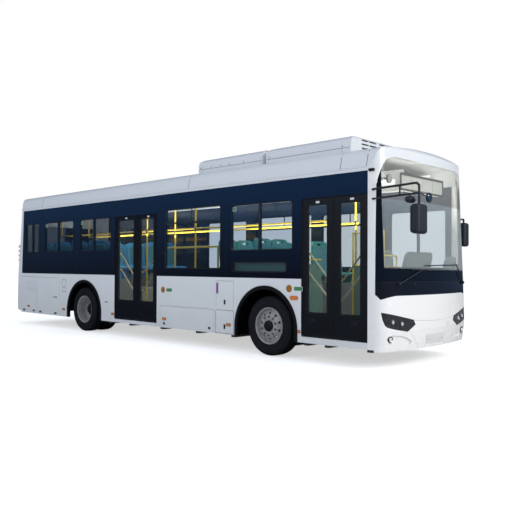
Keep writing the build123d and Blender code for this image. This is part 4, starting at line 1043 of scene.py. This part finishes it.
LAMP_STRIPS = (
    [(-1.190, 0.768), (-0.975, 0.731), (-0.618, 0.660), (-0.628, 0.640), (-0.973, 0.708), (-1.187, 0.743)],
    [(-1.118, 0.592), (-0.985, 0.567), (-0.752, 0.531), (-0.738, 0.545), (-0.980, 0.584), (-1.112, 0.607)],
)
LAMP_COVER = [(-1.200, 0.782), (-0.977, 0.738), (-0.612, 0.665), (-0.572, 0.604), (-0.742, 0.520), (-0.985, 0.557),
              (-1.138, 0.592), (-1.167, 0.618), (-1.187, 0.683)]


def dress_lamps():
    for label, side in SIDES.items():
        strips, bowls, eyes, cover = Shape(), Shape(), Shape(), Shape()
        for outline in LAMP_STRIPS:
            front_patch(strips, to_side(outline, side), -0.002, 0.004)
        for y, z in LAMP_LENSES:
            lamp_bowl(bowls, -side * y, z, 0.045, -0.016)
            lamp_eye(eyes, -side * y, z, 0.028, -0.015)
        front_patch(cover, to_side(LAMP_COVER, side), 0.0035, 0.0025, 36, 5)
        piece(f"headlamp_strips_{label}", strips, "clear")
        piece(f"headlamp_bowls_{label}", bowls, "steel")
        piece(f"headlamp_eyes_{label}", eyes, "clear")
        piece(f"headlamp_cover_{label}", cover, "lamp_glass")
        y, z = FOG_LAMP
        piece(f"fog_lamp_bowl_{label}", lamp_bowl(Shape(), -side * y, z, 0.042, -0.012), "steel")
        piece(f"fog_lamp_eye_{label}", lamp_eye(Shape(), -side * y, z, 0.034, -0.011), "clear")


def dress_front():
    seal = Shape()
    front_patch(seal, plain_box(-1.247, 1.247, 1.197, 1.2035), 0.001, 0.004, 90, 1)
    piece("windscreen_lower_seal", seal, "rubber")
    plate = front_patch(Shape(), plain_box(-0.255, 0.255, 0.306, 0.424), -0.004, 0.005, 12, 2)
    piece("blank_number_plate", plate, "sticker_white")
    screws = Shape()
    for y in (-0.19, 0.19):
        screws.turned(dome(0.007, 0.003, 0.0035), on_front(y, 0.365, -0.004), (1, 0, 0), 12)
    piece("number_plate_screws", screws, "steel")
    tow = Shape().frame(circle(0.36, 0.566, 0.033), circle(0.36, 0.566, 0.0305), on_front, -0.001, 0.0006)
    piece("towing_eye_joint", tow, "rubber")
    squirt = Shape()
    for y in (-0.55, 0.35):
        squirt.turned([(CORE, -0.002), (0.014, -0.002), (0.013, 0.006), (0.006, 0.010), (CORE, 0.010)],
                      on_front(y, 1.165, 0), (1, 0, 0), 18)
    piece("washer_jets", squirt, "black")
    for name, pivot in (("kerb", (-0.914, 1.180)), ("driver", (1.040, 1.170))):
        cap = Shape().turned([(CORE, 0.002), (0.027, 0.002), (0.027, 0.018), (0.021, 0.034), (CORE, 0.039)],
                             on_front(*pivot, 0), (1, 0, 0), 28)
        piece(f"wiper_pivot_cap_{name}", cap, "black")


DISPLAY_X = 2.020


def dress_display():
    place = lambda y, z, out: Vector((ahead(DISPLAY_X) + out, y, z))
    surround = Shape().rim((-0.635, 0.655, 2.505, 2.765), 0.035, place, -0.004, 0.006, 0.015, 0.006)
    piece("display_surround", surround, "black")
    lines = Shape()
    for k in range(1, 4):
        y = -0.600 + 1.22 * k / 4
        lines.slab(plain_box(y - 0.0015, y + 0.0015, 2.542, 2.728), place, 0.0, 0.0012)
    piece("display_joints", lines, "rubber")
    at = (ahead(1.965), -0.83, 2.655)
    spot = Shape().turned([(CORE, 0), (0.055, 0), (0.055, 0.012), (0.045, 0.018), (CORE, 0.018)], at, (1, 0, 0), 32)
    piece("entrance_light", spot, "clear")
    holder = Shape().turned(plain_box(CORE, 0.062, -0.02, 0.006), at, (1, 0, 0), 32)
    holder.tube([(ahead(1.945), -0.83, 2.655), (ahead(1.60), -0.83, 2.72), (ahead(1.49), -0.83, 2.80)], 0.012)
    piece("entrance_light_holder", holder, "black")


# ---------------------------------------------------------------- mirrors
# middle of each mirror head, its width, height and depth
MIRRORS = {"kerb": ((2.750, -1.400, 2.015), 0.250, 0.375, 0.120),
           "driver": ((2.030, 1.365, 1.950), 0.170, 0.390, 0.110)}


def dress_mirrors():
    for label, ((x, y0, z0), wide, high, deep) in MIRRORS.items():
        back = ahead(x) - deep / 2
        place = lambda y, z, out: Vector((back - out, y0 + y, z0 + z))
        bezel, silver = Shape(), Shape()
        half, tall = wide / 2 - 0.022, high / 2 - 0.022
        bezel.rim((-half - 0.008, half + 0.008, -tall - 0.008, tall + 0.008), 0.008, place, -0.02, 0.004, 0.038,
                  0.030)
        split = -tall + 0.36 * high
        silver.slab(rounded(-half, half, split + 0.006, tall, 0.028), place, -0.01, 0.0015)
        silver.slab(rounded(-half, half, -tall, split - 0.006, 0.028), place, -0.01, 0.0015)
        piece(f"mirror_bezel_{label}", bezel, "black")
        piece(f"mirror_glass_{label}", silver, "mirror_glass")
        line = rounded(-wide / 2 + 0.0005, wide / 2 - 0.0005, -high / 2 + 0.0005, high / 2 - 0.0005, 0.040)
        seam = Shape().tube([(ahead(x) + 0.012, y0 + y, z0 + z) for y, z in line], 0.0025, 6, looped=True)
        piece(f"mirror_seam_{label}", seam, "rubber")
    at = (ahead(2.830) - 0.0125, -1.295, 2.285)
    round_glass = Shape().turned(dome(0.055, 0.004, 0.007, 0.005), at, (-1, 0, 0), 32)
    ahead_glass = (ahead(2.830) + 0.0125, -1.295, 2.285)
    round_glass.turned(dome(0.052, 0.004, 0.007, 0.005), ahead_glass, (1, 0, 0), 32)
    piece("look_down_mirror_glass", round_glass, "mirror_glass")
    hoop = [(ahead(2.83), y, z) for y, z in circle(-1.295, 2.285, 0.0605, 24)]
    piece("look_down_mirror_hoop", Shape().tube(hoop, 0.004, 8, looped=True), "black")


# ---------------------------------------------------------------- roof
# start, end of each pod ahead of the front axle
PODS = {"rear": (-1.950, -0.360), "front": (-0.280, 1.400)}
POD_SCREWS = {"rear": (-1.90, -1.62, -1.37, -1.15, -0.80), "front": (-0.20, 1.25)}
POD_HALF = 0.960
POD_LINE = [(-0.960, 3.082), (-0.960, 3.230), (-0.940, 3.290), (-0.880, 3.330), (-0.8215, 3.345)]
VENTS = [(-0.680, -0.280), (-0.200, 0.160), (0.250, 0.650)]
VENT_ROWS = (3.300, 3.240, 3.180)


def dress_roof():
    for label, (x0, x1) in PODS.items():
        line = POD_LINE + [(-y, z) for y, z in reversed(POD_LINE)]
        seams, screws = Shape(), Shape()
        for x in ((x0 + 0.10, x1 - 0.03) if label == "rear" else (x0 + 0.05, x1 - 0.16)):
            seams.tube([(ahead(x), y * 0.998, z - 0.003) for y, z in line], 0.0028, 6)
        for side in (RIGHT, LEFT):
            y = side * POD_HALF
            seams.tube([(ahead(x0 + 0.02), y, 3.158), (ahead(x1 - 0.02), y, 3.158)], 0.0028, 6)
            for x in POD_SCREWS[label]:
                screws.turned(dome(0.011, 0.0035, 0.005, foot=-0.001), (ahead(x), y, 3.185), (0, side, 0), 14)
        piece(f"roof_pod_seams_{label}", seams, "rubber")
        piece(f"roof_pod_screws_{label}", screws, "steel")
    bars = Shape()
    front = ahead(PODS["front"][1])
    for y0, y1 in VENTS:
        half = (y1 - y0) / 2 - 0.01
        for z in VENT_ROWS:
            for a, b in ((y0, y0 + half), (y1 - half, y1)):
                bars.loft([[(front - back, y, z + up) for back, up in plain_box(0.0395, 0.036, -0.0128, 0.0128)]
                           for y in (a + 0.0005, b - 0.0005)])
    piece("roof_pod_vent_mesh", bars, "black")
    hatches = Shape()
    for x in (-6.6, -4.2):
        place = lambda u, v, out: Vector((ahead(u), v, 3.1175 + out))
        hatches.slab(rounded(x - 0.36, x + 0.36, -0.34, 0.34, 0.05), place, -0.012, 0.026)
        hatches.slab(rounded(x - 0.31, x + 0.31, -0.29, 0.29, 0.06), place, 0.026, 0.050)
    piece("roof_hatches", hatches, "mask")


# ---------------------------------------------------------------- rear
REAR_STATIONS = [(0.25, -8.480), (0.53, -8.460), (1.2, -8.440), (3.2, -8.230)]


def rear_x(z):
    return ahead(skin_at(REAR_STATIONS, z))


def on_rear(y, z, out):
    return Vector((rear_x(z) - out, y, z))


def dress_rear():
    seal = Shape()
    seal.rim((-0.886, 0.886, 1.714, 2.406), 0.018, on_rear, -0.0055, 0.002, 0.05, 0.036)
    piece("rear_window_seal", seal, "rubber")
    rims, centres = Shape(), Shape()
    for side in (RIGHT, LEFT):
        for k in range(4):
            at = on_rear(side * 1.12, 1.56 + 0.105 * k, 0)
            rims.turned([(0.0425, -0.004), (0.050, -0.004), (0.050, 0.003), (0.0425, 0.0045)], at, (-1, 0, -0.1),
                        32, looped=True)
            centres.turned(dome(0.012, 0.0035, 0.004, 0.001, -0.001), at, (-1, 0, -0.1), 20)
        for k in range(4):
            at = (ahead(-8.39), side * (SIDE_Y - 0.045), 1.555 + 0.11 * k)
            centres.turned([(CORE, -0.01), (0.032, -0.01), (0.032, 0.012), (0.026, 0.018), (CORE, 0.020)], at,
                           (-0.7, 0.7 * side, 0), 24)
    piece("tail_lamp_rims", rims, "black")
    piece("tail_lamp_centres", centres, "clear")
    lid = Shape()
    for k in range(10):
        z = 0.86 + 0.046 * k
        louvre = (z, -0.001), (z + 0.026, -0.001), (z + 0.012, 0.010)
        lid.loft([[on_rear(y, *corner) for corner in louvre] for y in (-0.70, 0.70)])
    lid.rim((-0.73, 0.73, 0.83, 1.35), 0.015, on_rear, -0.001, 0.005, 0.02, 0.012)
    piece("engine_lid_louvres", lid, "black", "engine_lid")
    latches = Shape()
    for y in (-0.62, 0.62):
        latch(latches, y, 0.694, on_rear)
    piece("engine_lid_latches", latches, "black", "engine_lid")
    plate = Shape().slab(rounded(-0.22, 0.22, 0.735, 0.815, 0.006), on_rear, 0, 0.003)
    piece("rear_blank_number_plate", plate, "sticker_white", "engine_lid")
    bumper = Shape()
    bumper.rim((-1.13, 1.13, 0.392, 0.588), 0.006, on_rear, -0.001, 0.0008, 0.03, 0.025)
    piece("rear_bumper_joint", bumper, "rubber")
    glow = Shape()
    for side in (RIGHT, LEFT):
        glow.slab(rounded(side * 0.98 - 0.06, side * 0.98 + 0.06, 0.47, 0.51, 0.01), on_rear, 0, 0.008)
        glow.slab(rounded(side * 0.98 - 0.035, side * 0.98 + 0.035, 2.86, 2.885, 0.01), on_rear, 0, 0.010)
    piece("rear_reflectors", glow, "red")


# ---------------------------------------------------------------- cabin
RAIL_Y, RAIL_Z, FLOOR_Z = 0.385, 2.150, 0.330


RAIL_CLAMP = [(0.0172, -0.045), (0.024, -0.040), (0.024, 0.040), (0.0172, 0.045)]
POLE_FOOT = [(0.0172, 0.001), (0.042, 0.001), (0.040, 0.008), (0.0172, 0.012)]


def dress_rails():
    clamps = Shape()
    for side in (RIGHT, LEFT):
        y = side * RAIL_Y
        for x in (-4.26, -2.69, 0.56):
            at = (ahead(x), y, RAIL_Z)
            clamps.turned(RAIL_CLAMP, at, (0, 0, 1), 20, looped=True)
            clamps.turned(POLE_FOOT, (ahead(x), y, FLOOR_Z), (0, 0, 1), 24, looped=True)
    piece("rail_clamps", clamps, "steel")
    entrance = Shape()
    entrance.tube([(ahead(1.31), 0.067, FLOOR_Z + 0.002), (ahead(1.31), 0.067, 1.995)], 0.016, 12)
    loop = [(ahead(1.31), y, z) for y, z in rounded(0.067, 0.45, 1.41, 1.59, 0.03, 6)]
    entrance.tube(loop, 0.014, 10, looped=True)
    for z in (0.97, 1.52):
        entrance.tube([(ahead(0.582), -1.165, z), (ahead(0.582), -0.60, z)], 0.013, 10)
    piece("entrance_rail", entrance, "yellow")
    panels = Shape()
    upright = lambda y, z, out: Vector((ahead(0.576) + out, y, z))
    below_window = lambda x, z, out: Vector((ahead(x), -1.172 + out, z))
    panels.slab(rounded(-1.168, -0.60, 1.13, 1.45, 0.03), upright, 0, 0.012)
    panels.slab(rounded(-1.168, -0.61, 0.36, 1.11, 0.01), upright, 0.024, 0.027)
    panels.slab(rounded(-0.79, 0.44, 1.30, 1.50, 0.03), below_window, 0, 0.004)
    piece("entrance_panels", panels, "dash_green")


def dress_driver_place():
    edge = Shape()
    for line in (((1.288, 0.2275, 1.34), (1.196, 0.2275, 1.430), (0.64, 0.2275, 1.430)),
                 ((0.624, 0.2145, 0.57), (0.624, 0.2145, 1.98), (0.624, 1.16, 1.98))):
        edge.tube([(ahead(x), y, z) for x, y, z in line], 0.0155, 10)
    piece("partition_rails", edge, "yellow")
    hoods = Shape()
    for y0, y1, x, low, tall in ((-0.09, 0.76, 1.70, 1.285, 0.36), (0.78, 1.16, 1.90, 1.180, 0.40)):
        leaning = lambda y, z, out: Vector((ahead(x) + out + (z - low) * 0.22, y, z))
        hoods.slab(rounded(y0, y1, low, low + tall, 0.10), leaning, 0, 0.022)
    piece("driver_display_hoods", hoods, "dash")
    hub, tilt = Vector((ahead(1.430), 0.690, 1.300)), Matrix.Rotation(radians(-25), 3, "Y")
    grip = Shape().tube([hub + tilt @ Vector((u, v, 0)) for u, v in circle(0, 0, 0.225, 40)], 0.0172, 12,
                        looped=True)
    piece("steering_wheel_grip", grip, "black")


SEAT_ROWS = [(-1.09, 1.27), (-0.275, 1.27), (-5.2, 1.37), (-5.92, 1.37), (-6.65, 1.37), (-7.42, 1.37)]
SEAT_YS = (0.965, 0.545)


def dress_seats():
    """A thin pad on the backrest and one on the pan of each seat."""
    pads = Shape()
    for x, cushion in SEAT_ROWS:
        lean = lambda v, z, out: Vector((ahead(x - 0.07 * (z - cushion - 0.025) / 0.575) + out, v, z))
        pan = lambda u, v, out: Vector((u, v, cushion + 0.025 + 0.015 * (u - ahead(x)) / 0.39 + out))
        for side in (RIGHT, LEFT):
            for y in SEAT_YS:
                at = side * y
                back = rounded(at - 0.165, at + 0.165, cushion + 0.09, cushion + 0.50, 0.05)
                pads.slab(back, lean, -0.004, 0.010)
                seat = rounded(ahead(x + 0.05), ahead(x + 0.37), at - 0.17, at + 0.17, 0.05)
                pads.slab(seat, pan, -0.004, 0.009)
    piece("seat_pads", pads, "seat_pad")


dress_wheels()
dress_sides()
dress_reflectors()
dress_stickers()
dress_flaps()
dress_doors()
dress_lamps()
dress_front()
dress_display()
dress_mirrors()
dress_roof()
dress_rear()
dress_rails()
dress_driver_place()
dress_seats()


# ---------------------------------------------------------------- stage
# colour and strength of the light for plain, mirrored and camera rays
WORLD = (((0.80, 0.88, 1.0), 0.66, None), ((0.22, 0.38, 0.66), 0.24, "Is Glossy Ray"),
         ((1, 1, 1), 1.0, "Is Camera Ray"))
FLOOR_REACH = 60
CABIN_LAMPS, CABIN_LAMP_Z, CABIN_POWER = (-6.5, -3.6, -1.0, 1.1), 2.05, 60


def make_stage():
    world = bpy.data.worlds.new("studio")
    scene.world = world
    world.use_nodes = True
    nodes, links = world.node_tree.nodes, world.node_tree.links
    nodes.clear()
    output = nodes.new("ShaderNodeOutputWorld")
    path = nodes.new("ShaderNodeLightPath")
    shown = None
    for color, strength, ray in WORLD:
        light = nodes.new("ShaderNodeBackground")
        light.inputs[0].default_value = (*color, 1)
        light.inputs[1].default_value = strength
        if shown is None:
            shown = light
            continue
        mixed = nodes.new("ShaderNodeMixShader")
        links.new(path.outputs[ray], mixed.inputs[0])
        links.new(shown.outputs[0], mixed.inputs[1])
        links.new(light.outputs[0], mixed.inputs[2])
        shown = mixed
    links.new(shown.outputs[0], output.inputs[0])

    floor_mesh = bpy.data.meshes.new("studio_floor")
    corners = plain_box(-FLOOR_REACH, FLOOR_REACH, -FLOOR_REACH, FLOOR_REACH)
    floor_mesh.from_pydata([(x, y, 0) for x, y in corners], [], [(0, 1, 2, 3)])
    floor = bpy.data.objects.new("studio_floor", floor_mesh)
    scene.collection.objects.link(floor)
    finish = Finish("studio_floor", (0.85, 0.85, 0.85), 1.0, Specular_IOR_Level=0.0, Emission_Strength=1.0)
    path = finish.make("LightPath")
    finish.feed("Base Color", finish.mix(path.outputs["Is Glossy Ray"], finish.color, (0.035, 0.035, 0.04)))
    finish.feed("Emission Color", finish.mix(path.outputs["Is Camera Ray"], (0, 0, 0), (0.55, 0.55, 0.55)))
    floor_mesh.materials.append(finish.material)


def area_light(name, at, towards, power, width, height, color=(1, 1, 1)):
    data = bpy.data.lights.new(name, "AREA")
    data.shape = "RECTANGLE"
    data.size, data.size_y = width, height
    data.energy = power
    data.color = color
    light = bpy.data.objects.new(name, data)
    scene.collection.objects.link(light)
    light.location = at
    light.rotation_euler = (Vector(towards) - Vector(at)).to_track_quat("-Z", "Y").to_euler()
    return light


make_stage()
area_light("key", (17, 1.5, 8), (4, 0, 1.5), 1150, 8, 6, (1.0, 0.97, 0.93))
area_light("side_fill", (0, -18, 9), (0, 0, 1.5), 560, 14, 6, (0.92, 0.95, 1.0))
for number, x in enumerate(CABIN_LAMPS):
    at, towards = (ahead(x), 0, CABIN_LAMP_Z), (ahead(x), 0.01, 2.8)
    cabin = area_light(f"cabin_{number}", at, towards, CABIN_POWER, 1.8, 0.9, (1.0, 0.97, 0.88))
    cabin.visible_camera = cabin.visible_glossy = cabin.visible_transmission = False
scene.view_settings.view_transform = "Standard"


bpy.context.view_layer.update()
